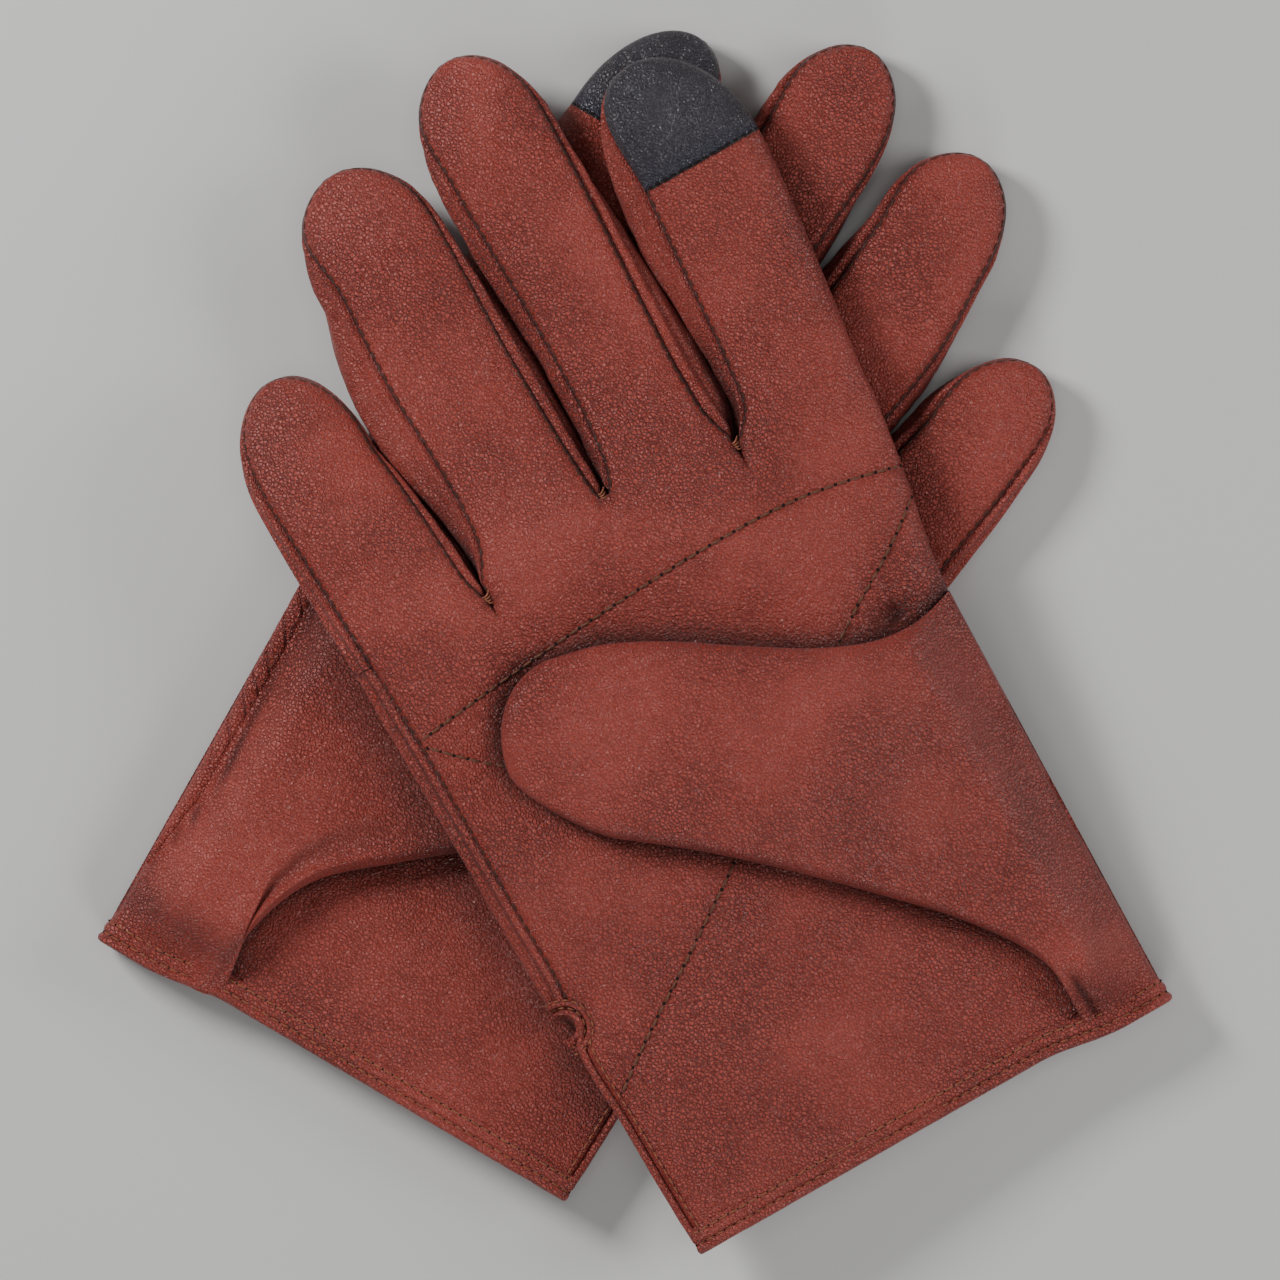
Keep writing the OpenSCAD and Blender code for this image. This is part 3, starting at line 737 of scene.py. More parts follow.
def outer_wrap(row):
    """The little finger's outer edge at its root, from the seam: distance from it, x and z."""
    def offset(at, whole):
        return -outer_roll(whole - at)
    end = -180 - seam_turn(row, row["seam_u"] + 0.5)
    line = ring_of(row, -FORK_TURN, end, BACK_COLS["little"], offset)
    return from_end(line)[::-1], line[::-1, 0], line[::-1, 2]


def hand_back(side, little):
    """The back of the hand, which wraps round the outer edge to the side seam and meets the little finger."""
    grid, shade = [], []
    wrap, wrap_x, wrap_z = outer_wrap(little)
    levels = np.concatenate([np.linspace(0, 40, 26), np.linspace(42, 70, 26), np.linspace(72, 142, 40)])
    for y in levels:
        outer, seam, _ = hand_edges(y)
        row = hand_row(y)
        open_edge = 1 - smooth((y - 50) / 8)

        def offset(at, whole):
            left = whole - at
            return -outer_roll(left) * (1 - open_edge) + 0.5 * open_edge * np.exp(-left / 1.5)
        line = ring_of(row, -12, -180 - seam_turn(row, seam + 0.5), 170, offset)
        line[:, 1] += cuff_y(line[:, 0]) * (1 - smooth(y / 60))
        left = from_end(line)
        near = smooth((y - 122) / 20) * smooth((14 - left) / 9)
        moved = np.interp(left, wrap, wrap_x) + outer + little["w"] - little["c"]
        line[:, 0] += near * (moved - line[:, 0])
        line[:, 2] += near * (np.interp(left, wrap, wrap_z) - line[:, 2])
        grid.append(line)
        # painted shade in the vent's pit, where the back shows through the notch
        dark = 0.9 * (1 - smooth((from_vent(line[:, 0], y) - 1.6) / 1.6)) * smooth((line[:, 2] - 3) / 2)
        shade.append(np.maximum(wrap_shade(left) * (1 - open_edge), dark))
    grid = np.array(grid)
    grid[..., 2] += back_creases(side, grid)
    return grid, np.array(shade)


def inner_tube(rows, inset, count):
    """A closed lining tube inside a run of sections."""
    rings = []
    for row in rows:
        inner = dict(row, w=max(row["w"] - inset, THIN), thick=max(row["thick"] - 2 * inset, THIN))
        rings.append(ring_of(inner, 0, -360, count))
    return np.array(rings)


# ---------------------------------------------------------------- the folded thumb
THUMB_ROLL = 3.8       # how far in from its edge the thumb is rounded
LINING_START = 30      # the row of the thumb's grid where its lining starts, clear of the cuff


def thumb_outline(side, k):
    """Upper and lower edge of the thumb at k, counted along its pairs of points."""
    pairs = np.array(SHAPES[side]["thumb"]["pairs"], float)
    table = np.concatenate([np.arange(len(pairs))[:, None], pairs.reshape(-1, 4)], 1)
    both = spline(table, k)
    return both[..., :2], both[..., 2:]


def thumb_grid(side, shrink=0.0):
    """Base points of the thumb, the distance from its edge, and the thickness at each point."""
    last = len(SHAPES[side]["thumb"]["pairs"]) - 1
    across = np.sin(np.linspace(-90, 90, 76) * math.pi / 180)
    runs = np.concatenate([[0, 0.03, 0.09, 0.18, 0.3, 0.45, 0.62, 0.8], np.arange(1, last, 0.09), [last]])
    turns = np.radians(np.linspace(0, 90, 22))[1:]
    k = np.concatenate([runs, np.full(len(turns), last)])[:, None]
    turn = np.concatenate([np.zeros(len(runs)), turns])[:, None]
    upper, lower = thumb_outline(side, k)
    middle, half = (upper + lower) / 2, (upper - lower) / 2
    reach, pull = np.array(SHAPES[side]["thumb"]["reach"]), np.array(SHAPES[side]["thumb"]["pull"])
    width = np.linalg.norm(half, axis=-1)
    keep = 1 - shrink / width
    length = np.linalg.norm(reach)
    base = (middle + reach * ((1 - shrink / length) * np.sin(turn))[..., None]
            + half * (across * np.cos(turn) * keep)[..., None]
            + pull * (np.clip(-across, 0, 1) ** 2 * np.sin(turn) * np.cos(turn))[..., None])
    ball = np.sqrt(np.sin(turn) ** 2 + (across * np.cos(turn)) ** 2)
    edge = (1 - ball) * np.where(turn > 0, (width + length) / 2, width)
    x, y = base[..., 0], base[..., 1]
    rise = smooth((57.2 - x) / 13)
    fade = smooth((y + 1.5) / 17)
    return base, edge, rise * fade, rise, across * np.cos(turn)


def thumb_sheets(side):
    """The thumb's upper side with the fold round the hand's edge, and its underside."""
    base, edge, share, rise, ball_side = thumb_grid(side)
    x, y = base[..., 0], base[..., 1]
    radial = hand_edges(y)[2]
    x = x + 0.35 * (1 - smooth((radial - x) / 3))
    ground = hand_height(x, y, wider=0.35)
    rough = 0.5 * creases(side, x + 200, y + 60) * smooth((radial - x) / 4)
    seat = ground + 0.35 * rise
    round_edge = rounded(edge, THUMB_ROLL)
    full = THUMB_T - 0.5
    dome = 0.35 * np.clip(edge / 30, 0, 1)
    top = seat + 0.3 + share * (full * (0.5 + 0.5 * round_edge) + dome) + rough * (0.3 + 0.7 * round_edge)
    low = seat + share * full * (0.5 - 0.5 * round_edge) - 0.4 * (1 - share)
    below = smooth((0.35 - ball_side) / 0.3)
    top = top + thumb_folds(side, x, y, edge, below) * smooth(edge / 2)
    turn = np.radians([-34, -24, -15, -8, -3])[:, None]
    middle = hand_row(y[0])["c"]
    fold_x = middle + (x[0] - middle) * np.cos(turn) ** 0.4
    fold_z = HAND_T / 2 * (1 - np.abs(np.sin(turn)) ** 0.4) + 0.3 * np.cos(turn)
    fold = np.stack(np.broadcast_arrays(fold_x, y[0], fold_z), -1)
    upper = np.concatenate([fold, np.stack([x, y, top], -1)])
    # a rubbed tone round the thumb's edge and the hand's edge, with a painted dark line at the thumb's very
    # edge
    worn_and_shaded = 0.72 * np.exp(-edge / 3.0) * share + 0.25 * np.exp(-(radial - x) / 3)
    shade = thumb_shade(side, x, y, edge, below)
    margin = ((len(turn), 0), (0, 0))
    worn_and_shaded = np.clip(np.pad(worn_and_shaded, margin, mode="edge"), 0, 1)
    top_sheet = laid(side, upper, worn_and_shaded, np.pad(shade, margin))
    # the thumb's underside carries an even painted shade
    return top_sheet, laid(side, np.stack([x, y, low], -1), 0.0, 0.8)


def thumb_shade(side, x, y, edge, below):
    """Painted shade in the creases of the thumb's upper side, and on the left thumb the painted shadow beside
    the right glove.
    """
    if side == "left":
        beside = hand_edges(y)[2] - x
        groove = bell((beside - 4.7 * smooth((y - 8) / 30)) / 0.55) * smooth((y - 12) / 20)
        fold = 0.45 * below * smooth((62 - y) / 30) * bell((edge - 9.5) / 4.0)
        return np.maximum.reduce([0.9 * groove, fold, beside_other(side, x, y)])
    tuck = bell((x - 41.6 + 0.05 * y) / 1.0) * smooth((14 - y) / 6)
    return np.maximum(0.9 * tuck, 0.35 * bell((x - 46) / 7, (y - 4) / 4))


def thumb_folds(side, x, y, edge, below):
    """The tuck where the thumb's lower edge turns into the cuff, and the pull at its upper end."""
    if side == "left":
        low = below * smooth((62 - y) / 30)
        roll = 1.0 * bell((edge - 3.0) / 2.2) - 1.2 * bell((edge - 9.5) / 4.0)
        beside = hand_edges(y)[2] - x
        groove = 1.0 * bell((beside - 4.7 * smooth((y - 8) / 30)) / 0.7) * smooth((y - 12) / 20)
        near_cuff = smooth((24 - y) / 14)
        turned = 1.3 * bell((x - 33.2) / 2.2) - 1.0 * bell((x - 40.5) / 4.0)
        return roll * low * (1 - near_cuff) + turned * near_cuff - groove
    crease = 1.5 * bell((x - 41.6 + 0.05 * y) / 0.9) * smooth((15 - y) / 6)
    hump = 1.9 * bell((x - 45.5) / 3.2, (y - 9.5) / 6)
    r = np.hypot(x - 44, y - 4) + 1e-6
    rays = 0.28 * np.sin(9 * np.arctan2(y - 4, x - 44) + 1.5 * noise(x, y, 5, 61))
    rays = rays * np.exp(-r / 9) * smooth(r / 4)
    pull = 0.5 * bell((x - 50) / 5, (y - 90) / 5)
    lines = 0.15 * np.sin((x * 0.8 + y) / 1.7) * bell((x - 52) / 5, (y - 22) / 18)
    return hump - crease + rays + pull + lines


def edge_rope(side):
    """The twisted seam that shows along the left glove's thumb-side edge, below the thumb."""
    y = np.linspace(16, 93, 210)[:, None]
    turn = np.radians(np.linspace(175, -60, 22))
    radial = hand_edges(y)[2]
    none = np.zeros_like(y)
    wide = 2.35 * smooth((y - 10) / 26) * (0.9 + 0.1 * noise(y, none, 9, 71))
    x0 = radial - wide + 0.35
    twist = np.sin(math.pi * (y / 7.2 + turn / 2.6) + 1.6 * noise(y, none, 11, 73))
    groove = bell(twist / 0.17) * smooth((y - 30) / 30)
    r = wide * (1.04 - 0.30 * groove) + 0.05
    z0 = hand_height(x0 - 0.6, y) - 0.3
    rope = np.stack(np.broadcast_arrays(x0 + r * np.cos(turn), y, z0 + 0.85 * r * np.sin(turn) + 0.4), -1)
    # painted shade in the grooves of the twist
    return laid(side, rope, 0.0, 0.85 * groove)


# ---------------------------------------------------------------- the cuff
HEM_PROFILE = [(4.9, -0.6), (4.5, 0.02), (4.1, 0.14), (3.7, 0.08), (3.2, 0.34), (2.6, 0.5), (2.0, 0.5),
               (1.5, 0.3), (1.2, -0.25), (0.9, 0.3), (0.4, 0.62), (-0.2, 0.66), (-0.8, 0.3), (-1.0, -0.35),
               (-0.6, -0.95), (0.2, -1.25), (2.0, -1.3), (5.5, -1.35)]


def cuff_way():
    """Points and outward directions round the cuff, from the vent over the palm and back again."""
    row = dict(c=-0.15, w=56.75, thick=HAND_T + 0.2, mid=HAND_T / 2, power=HAND_POWER, y=0.0)
    way = ring_of(row, 168, -168, 300)
    step = np.gradient(way, axis=0)
    out = np.stack([-step[:, 2], np.zeros(len(step)), step[:, 0]], -1)
    out /= np.maximum(np.linalg.norm(out, axis=-1, keepdims=True), 1e-9)
    way[:, 1] = cuff_y(way[:, 0])
    lumps = 0.12 * noise(way[:, 0], way[:, 2] * 3, 6, 81) + 0.1 * noise(way[:, 0], way[:, 2], 2.6, 82)
    return way, out, lumps


def hem_sheet():
    """The folded hem, a rolled edge and a stitched band, round the whole cuff."""
    way, out, lumps = cuff_way()
    lines = []
    for along, up in HEM_PROFILE:
        line = way + out * (up + 0.45 + lumps * (1 if up > 0 else 0.3))[:, None]
        line[:, 1] += along + 0.25 * lumps
        lines.append(line)
    return np.array(lines)


def hem_rows(along, rise):
    """Where a row of stitches runs round the cuff."""
    way, out, lumps = cuff_way()
    line = way + out * (rise + lumps)[:, None]
    line[:, 1] += along
    return line


def tube(path, radius, sides=10):
    """A round tube along a path of points."""
    path = np.asarray(path, float)
    along = np.gradient(path, axis=0)
    along /= np.maximum(np.linalg.norm(along, axis=-1, keepdims=True), 1e-9)
    across = np.cross(along, [0, 0, 1.0])
    across /= np.maximum(np.linalg.norm(across, axis=-1, keepdims=True), 1e-9)
    up = np.cross(across, along)
    turn = np.linspace(0, 2 * math.pi, sides + 1)
    r = np.broadcast_to(np.asarray(radius, float), (len(path),))[:, None, None]
    return path[:, None] + r * (np.cos(turn)[:, None] * across[:, None] + np.sin(turn)[:, None] * up[:, None])


def vent_arc(radius, start, end, count):
    """Points (x, y) on an arc round the middle of the vent's half-moon, between two angles."""
    turn = np.radians(np.linspace(start, end, count))
    return np.stack([VENT[0] + radius * np.cos(turn), VENT[1] + radius * np.sin(turn)], -1)


def on_level(path, rise):
    """A path (x, y) laid on the palm's smooth surface, at a height above it."""
    height = palm_level(path[:, 0], path[:, 1]) + rise
    return np.concatenate([path, height[:, None]], -1)


def vent_sheets():
    """The bound half-moon at the head of the vent, and the bound edge below it."""
    arc = vent_arc(3.4, 128, -112, 44)
    wobble = 0.14 * noise(arc[:, 0] * 2, arc[:, 1] * 2, 2.2, 91)
    ring = on_level(arc, 0.55 + wobble)
    fade = np.sin(np.linspace(0.12, 1, len(arc)) * math.pi / 2)
    low = np.linspace(52.5, 2.0, 90)
    edge_x = hand_edges(low)[1] - 0.25 + 0.12 * noise(low, np.zeros_like(low), 4, 92)
    slit = np.stack([edge_x, low, palm_level(edge_x + 1.0, low) - 0.45], -1)
    rim = on_level(vent_arc(5.3, 100, -95, 40), 0.28)
    return [tube(ring, 1.05 * fade), tube(slit, 0.85), tube(rim, 0.55)]


def vent_rows():
    """Where the stitches run round the half-moon and down the bound edge."""
    low = np.linspace(51, 2, 80)
    slit = np.stack([hand_edges(low)[1] + 1.7, low], -1)
    arcs = [vent_arc(radius, 105, -100, 60) for radius in (4.5, 6.1)]
    return [on_level(path, 0.35) for path in arcs + [slit]]


# ---------------------------------------------------------------- stitches
def evenly(path, pitch):
    """Points along a path at a pitch, as near as fits."""
    path = np.asarray(path, float)
    way = np.concatenate([[0], np.cumsum(np.linalg.norm(np.diff(path, axis=0), axis=1))])
    count = max(2, int(round(way[-1] / pitch)) + 1)
    at = np.linspace(0, way[-1], count)
    return np.stack([np.interp(at, way, path[:, i]) for i in range(3)], -1)


def stitches(path, pitch, radius=0.24, length=0.66, rise=0.1):
    """A short arched thread for each stitch along a path, as grids."""
    points = evenly(path, pitch)
    grids = []
    for a, b in zip(points[:-1], points[1:]):
        t = np.linspace((1 - length) / 2, (1 + length) / 2, 6)[:, None]
        line = a + (b - a) * t
        arch = np.sin(np.linspace(0, 1, 6) * math.pi)
        line[:, 2] += rise * arch - 0.12 * (1 - arch)
        grids.append(tube(line, radius * (0.55 + 0.45 * arch), 6))
    return grids


def holes(path, pitch, radius=0.34, lift_up=0.06):
    """A small disc of painted shade for the needle hole at each end of a stitch, as flat domed grids."""
    grids = []
    turn = np.linspace(0, 2 * math.pi, 9)
    for x, y, z in evenly(path, pitch):
        rings = [np.stack([x + r * radius * np.cos(turn), y + r * radius * np.sin(turn),
                           np.full(len(turn), z + lift_up - 0.1 * r)], -1) for r in (1.0, 0.6, 0.02)]
        grids.append(np.array(rings))
    return grids


def on_palm(side, row):
    """A decorative row's path on the creased palm."""
    table = np.array(row, float)
    way = np.concatenate([[0], np.cumsum(np.linalg.norm(np.diff(table, axis=0), axis=1))])
    xy = spline(np.concatenate([way[:, None], table], 1), np.linspace(0, way[-1], 160))
    return np.concatenate([xy, (palm_height(side, xy[:, 0], xy[:, 1]) + 0.12)[:, None]], -1)


# ---------------------------------------------------------------- materials
class Nodes:
    """Builds a material's node tree, one node at a time."""

    def __init__(self, name):
        self.material = bpy.data.materials.new(name)
        self.material.use_nodes = True
        self.tree = self.material.node_tree
        self.shader = self.tree.nodes["Principled BSDF"]

    def add(self, kind, inputs=(), **settings):
        """A node with the given settings; inputs are (socket, value or another node's output)."""
        node = self.tree.nodes.new(kind)
        for key, value in settings.items():
            setattr(node, key, value)
        for socket, value in inputs:
            self.put(node.inputs[socket], value)
        return node

    def put(self, socket, value):
        """Sets a socket, or links an output to it."""
        if isinstance(value, bpy.types.NodeSocket):
            self.tree.links.new(value, socket)
        else:
            socket.default_value = value

    def place(self, scale, squash=(1, 1, 1)):
        """Coordinates fixed to the leather, in units of one millimetre times scale."""
        rest = self.add("ShaderNodeAttribute", attribute_name="rest").outputs["Vector"]
        factor = tuple(1000 * scale * v for v in squash)
        return self.add("ShaderNodeVectorMath", [(0, rest), (1, factor)], operation="MULTIPLY").outputs[0]

    def noise(self, scale, detail=3.0, squash=(1, 1, 1)):
        """Noise from 0 to 1."""
        return self.add("ShaderNodeTexNoise", [("Vector", self.place(scale, squash)), ("Scale", 1.0),
                                               ("Detail", detail)]).outputs[0]

    def span(self, value, low, high, to_low=0.0, to_high=1.0):
        """A value rescaled smoothly from one range to another."""
        node = self.add("ShaderNodeMapRange", [(0, value), (1, low), (2, high), (3, to_low), (4, to_high)],
                        interpolation_type="SMOOTHSTEP")
        return node.outputs[0]

    def math(self, operation, a, b):
        """Arithmetic on two values."""
        return self.add("ShaderNodeMath", [(0, a), (1, b)], operation=operation).outputs[0]

    def mix(self, share, a, b):
        """A colour between two colours."""
        node = self.add("ShaderNodeMix", data_type="RGBA")
        self.put(node.inputs[0], share)
        self.put(node.inputs[6], a)
        self.put(node.inputs[7], b)
        return node.outputs[2]


def leather(name, base, light, dark, worn_and_shaded, painted_glint, grain, depth, rough):
    """Grained nappa leather: pebbles about a millimetre across, soft mottling, painted glints, rubbed edges
    with painted dark seam lines, and painted shade.
    """
    n = Nodes(name)
    warp = n.add("ShaderNodeTexNoise", [("Vector", n.place(0.5)), ("Scale", 1.0), ("Detail", 2.0)]).outputs[1]
    bent = n.add("ShaderNodeVectorMath", [(0, n.place(grain)), (1, warp)], operation="ADD").outputs[0]
    cells = n.add("ShaderNodeTexVoronoi", [("Vector", bent), ("Scale", 1.0)], feature="DISTANCE_TO_EDGE")
    pebbles = n.span(cells.outputs[0], 0.0, 0.20)
    fine = n.noise(grain * 1.7, 1.5)
    strength = n.span(n.noise(0.035, 2.0), 0.3, 0.7, 0.35, 1.0)
    height = n.math("ADD", n.math("MULTIPLY", n.math("MULTIPLY", pebbles, strength), 0.85),
                    n.math("MULTIPLY", fine, 0.65))
    wrinkles = n.noise(0.22, 4.0, (1.0, 1.6, 1.0))
    height = n.math("ADD", height, n.math("MULTIPLY", wrinkles, 1.1))
    bump = n.add("ShaderNodeBump", [("Strength", 1.0), ("Distance", depth), ("Height", height)])
    mottle = n.mix(n.span(n.noise(0.045, 4.0), 0.32, 0.68), base, light)
    mottle = n.mix(n.span(n.noise(0.16, 5.0), 0.5, 0.8, 0.0, 0.30), mottle, dark)
    pores = tuple(0.5 * v for v in dark[:3]) + (1,)
    creased = n.mix(n.math("MULTIPLY", n.span(pebbles, 0.0, 0.8, 0.7, 0.0), strength), mottle, pores)
    # painted highlights: light glints on the grain, laid into the colour
    creased = n.mix(n.span(fine, 0.50, 0.68, 0.0, 0.45), creased, painted_glint)
    edge = n.add("ShaderNodeAttribute", attribute_name="worn_and_shaded").outputs["Fac"]
    painted_shade = n.add("ShaderNodeAttribute", attribute_name="painted_shade").outputs["Fac"]
    # a darker rubbed tone towards edges and seams, part wear and part painted shade
    colour = n.mix(n.math("MULTIPLY", edge, 0.7), creased, worn_and_shaded)
    # near-black colour of the painted shade
    deep = tuple(0.22 * v for v in dark[:3]) + (1,)
    # painted shade: a dark line right at seams and tucked-under edges
    colour = n.mix(n.span(edge, 0.66, 0.88, 0.0, 0.95), colour, deep)
    # painted shade in creases, gaps, pits, under the thumb and beside the thumb and the other glove
    colour = n.mix(n.math("MULTIPLY", painted_shade, 0.8), colour, deep)
    n.put(n.shader.inputs["Base Color"], colour)
    n.put(n.shader.inputs["Normal"], bump.outputs[0])
    n.shader.inputs["Roughness"].default_value = rough
    n.shader.inputs["Specular IOR Level"].default_value = 0.40
    n.shader.inputs["Sheen Weight"].default_value = 0.06
    n.shader.inputs["Sheen Roughness"].default_value = 0.45
    n.shader.inputs["Sheen Tint"].default_value = (0.9, 0.72, 0.78, 1)
    return n.material


def plain(name, colour, rough, grain=2.0, depth=0.0001):
    """Thread and lining finishes, and the painted shade of needle holes: one colour with a fine fibrous bump.
    """
    n = Nodes(name)
    fibres = n.noise(grain, 3.0, (1, 1, 1))
    shade = tuple(0.6 * v for v in colour[:3]) + (1,)
    n.put(n.shader.inputs["Base Color"], n.mix(n.span(fibres, 0.3, 0.7), shade, colour))
    bump = n.add("ShaderNodeBump", [("Strength", 0.8), ("Distance", depth), ("Height", fibres)])
    n.put(n.shader.inputs["Normal"], bump.outputs[0])
    n.shader.inputs["Roughness"].default_value = rough
    n.shader.inputs["Specular IOR Level"].default_value = 0.3
    return n.material


def knit(name, colour):
    """The knitted lining, with rows of fine loops."""
    n = Nodes(name)
    place = n.place(1.0)
    wales = n.add("ShaderNodeTexWave", [("Vector", place), ("Scale", 0.5), ("Distortion", 0.4)],
                  wave_type="BANDS", bands_direction="X").outputs[1]
    courses = n.add("ShaderNodeTexWave", [("Vector", place), ("Scale", 0.42), ("Distortion", 0.6)],
                    wave_type="BANDS", bands_direction="Y").outputs[1]
    loops = n.math("MULTIPLY", wales, courses)
    n.put(n.shader.inputs["Base Color"], n.mix(loops, tuple(0.5 * v for v in colour[:3]) + (1,), colour))
    bump = n.add("ShaderNodeBump", [("Strength", 0.8), ("Distance", 0.0003), ("Height", loops)])
    n.put(n.shader.inputs["Normal"], bump.outputs[0])
    n.shader.inputs["Roughness"].default_value = 0.95
    return n.material


COGNAC = leather("cognac_leather", base=(0.240, 0.031, 0.020, 1), light=(0.262, 0.037, 0.025, 1),
                 dark=(0.120, 0.013, 0.007, 1), worn_and_shaded=(0.185, 0.015, 0.007, 1), painted_glint=(0.345, 0.066, 0.048, 1),
                 grain=1.25, depth=0.0005, rough=0.43)
BLACK = leather("black_leather", base=(0.022, 0.019, 0.025, 1), light=(0.032, 0.028, 0.035, 1),
                dark=(0.008, 0.007, 0.012, 1), worn_and_shaded=(0.010, 0.012, 0.030, 1), painted_glint=(0.040, 0.037, 0.050, 1),
                grain=1.3, depth=0.0004, rough=0.34)
DARK_THREAD = plain("dark_thread", (0.060, 0.020, 0.012, 1), 0.8)
BROWN_THREAD = plain("brown_thread", (0.250, 0.080, 0.040, 1), 0.7)
ROW_THREAD = plain("row_thread", (0.130, 0.050, 0.028, 1), 0.75)
TIE_THREAD = plain("tie_thread", (0.26, 0.085, 0.045, 1), 0.8)
# near-black painted shade of the needle holes, also used for the fingertip's line of stitches
HOLE_SHADE = plain("needle_hole_shade", (0.012, 0.004, 0.003, 1), 0.95)
KNIT = knit("knit_lining", (0.110, 0.060, 0.042, 1))


# ---------------------------------------------------------------- the pieces
def ends_of(side, name):
    """Where a finger starts to bend and where it has bent, up the hand."""
    if side == "left" and name == "index":
        return None
    middle = BENDS[side][name]
    low = {"little": 8, "ring": 7, "middle": 7, "index": 6}[name] if side == "left" else 1.5
    return middle - low, middle + (8 if side == "left" else 11)


def settle(obj, side, finger, nodes):
    """Hangs a finished piece on its glove's body, leaves a piece of a bending finger where it is drawn, and
    hides the imported nodes it stands for.
    """
    span = ends_of(side, finger) if finger else None
    if span is None:
        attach(obj, f"{side}_glove")
    else:
        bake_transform(obj)
    if nodes:
        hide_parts(*nodes)
    return obj


def threads(name, side, paths, pitch, material, **looks):
    """One object of stitches along several paths."""
    grids = [g for path in paths for g in stitches(path, pitch, **looks)]
    return join(name, side, [laid(side, g) for g in grids], material)


def pits(name, side, paths, pitch, **looks):
    """One object of painted needle-hole shade along several paths."""
    grids = [g for path in paths for g in holes(path, pitch, **looks)]
    return join(name, side, [laid(side, g) for g in grids], HOLE_SHADE)


def seam_path(side, rows, sign, name):
    """Where the stitches run along a finger's front, just inside its edge."""
    points = []
    for row in rows[1:-1]:
        inside = min(SEAM_IN, 0.15 * row["w"])
        x = row["seam_r"] - inside if sign > 0 else row["seam_u"] + inside
        y = row["yr"] if sign > 0 else row["yu"]
        d_u, d_r = x - row["seam_u"], (FAR_OFF if name == "index" else row["seam_r"] - x)
        points.append([x, y, float(front_height(side, row, x, y, d_u, d_r)) + 0.1])
    return np.array(points)


def touch_tip(side, grid, tip):
    """The conductive fingertip's sheet, gathered along its lower edge, and the line of its stitches."""
    touch = grid[tip].copy()
    above = touch[..., 1] - TOUCH_Y
    gather = 0.16 * np.sin(touch[..., 0] * 2.3 + 1.2 * noise(touch[..., 0], above, 3, 41))
    touch[..., 2] += 0.42 + gather * np.exp(-above / 2.5) - 1.1 * bell((above + 1.2) / 0.8)
    # darker towards the gathered lower edge, with a painted dark shade line at the edge itself
    worn_and_shaded = np.clip(np.exp(-np.maximum(above, 0) / 1.6), 0, 1)
    return laid(side, touch, worn_and_shaded), touch[1][2:-5] + [0, -0.75, 0.05]


def strip_sheet(side, name, rows, sign):
    """One side strip with its rubbed, darker edge under the seam, and its painted shade, which fades away
    from the crotch.
    """
    points = finger_strip(side, name, rows, sign)
    down = np.linspace(0, 1, points.shape[1])
    above = np.array([row["y"] for row in rows])[:, None]
    # painted shade in the gaps between fingers, heavier on a finger's little-finger side and near the
    # crotches
    shade = 0.65 * smooth((down - 0.16) / 0.3) + (0.3 * smooth(down / 0.1) if sign < 0 else 0)
    shade = shade * (1 - (0.75 if sign < 0 else 0.35) * smooth((above - 150) / 26))
    return laid(side, points, 0.5 * np.exp(-6 * down), shade)


def build_finger(side, name, rows, front, front_normals):
    """All the pieces of one finger."""
    grid, worn_and_shaded = front
    stem = f"{side}_{name}"

    def hang(piece, slot, *nodes):
        settle(piece, side, name, [f"{stem}_{node}" for node in nodes])

    height = np.array([row["y"] for row in rows])
    top = TOUCH_Y + 2.5 if name == "index" else height.max()
    keep = height <= top
    hang(join(f"{stem}_front_leather", side, [laid(side, grid[keep], worn_and_shaded[keep])], COGNAC,
              normals=[front_normals[keep]]), "glove_leather", "front")
    if name == "index":
        cap, line = touch_tip(side, grid, height >= TOUCH_Y - 1.2)
        hang(join(f"{stem}_touch_tip_leather", side, [cap], BLACK), "touch_leather", "touch_tip")
        # the fingertip's stitches are drawn in the painted shade of needle holes
        sewn = threads(f"{stem}_touch_tip_stitches", side, [line], TIP_PITCH, HOLE_SHADE, radius=0.2)
        hang(sewn, "stitching_thread")
    points, shade = finger_back(side, name, rows)
    back = join(f"{stem}_back_leather", side, [laid(side, points, 0.0, shade)], COGNAC)
    hang(back, "glove_leather", "back")
    signs = [sign for sign in (-1, 1) if (name, sign) not in (("little", -1), ("index", 1))]
    sheets = [strip_sheet(side, name, rows, sign) for sign in signs]
    turned = [k for k, sign in enumerate(signs) if sign < 0]
    strips = join(f"{stem}_side_strips", side, sheets, COGNAC, turned)
    held = ["left_hand_fourchettes"] if side == "left" and name != "index" else []
    settle(strips, side, name, [f"{stem}_fourchettes"] + held)
    inner = inner_tube([r for r in rows if r["yu"] > 152], 1.9, 40)
    hang(join(f"{stem}_knit_lining", side, [laid(side, inner)], KNIT), "knit_lining", "lining")
    paths = [seam_path(side, rows, sign, name) for sign in (-1, 1) if (name, sign) != ("index", 1)]
    hang(threads(f"{stem}_seam_stitches", side, paths, SEAM_PITCH, DARK_THREAD, radius=0.2, length=0.72),
         "stitching_thread")


def boundary(palm, fronts):
    """Gives the palm's last row and the first rows of the fronts the same normals."""
    start = 0
    for name in FINGERS:
        n = fronts[name]
        inside = slice(0 if name == "little" else 1, None if name == "index" else -1)
        count = n[0, inside].shape[0]
        mean = palm[-1, start:start + count] + n[0, inside]
        mean /= np.linalg.norm(mean, axis=-1, keepdims=True)
        palm[-1, start:start + count] = mean
        n[0, inside] = mean
        start += count


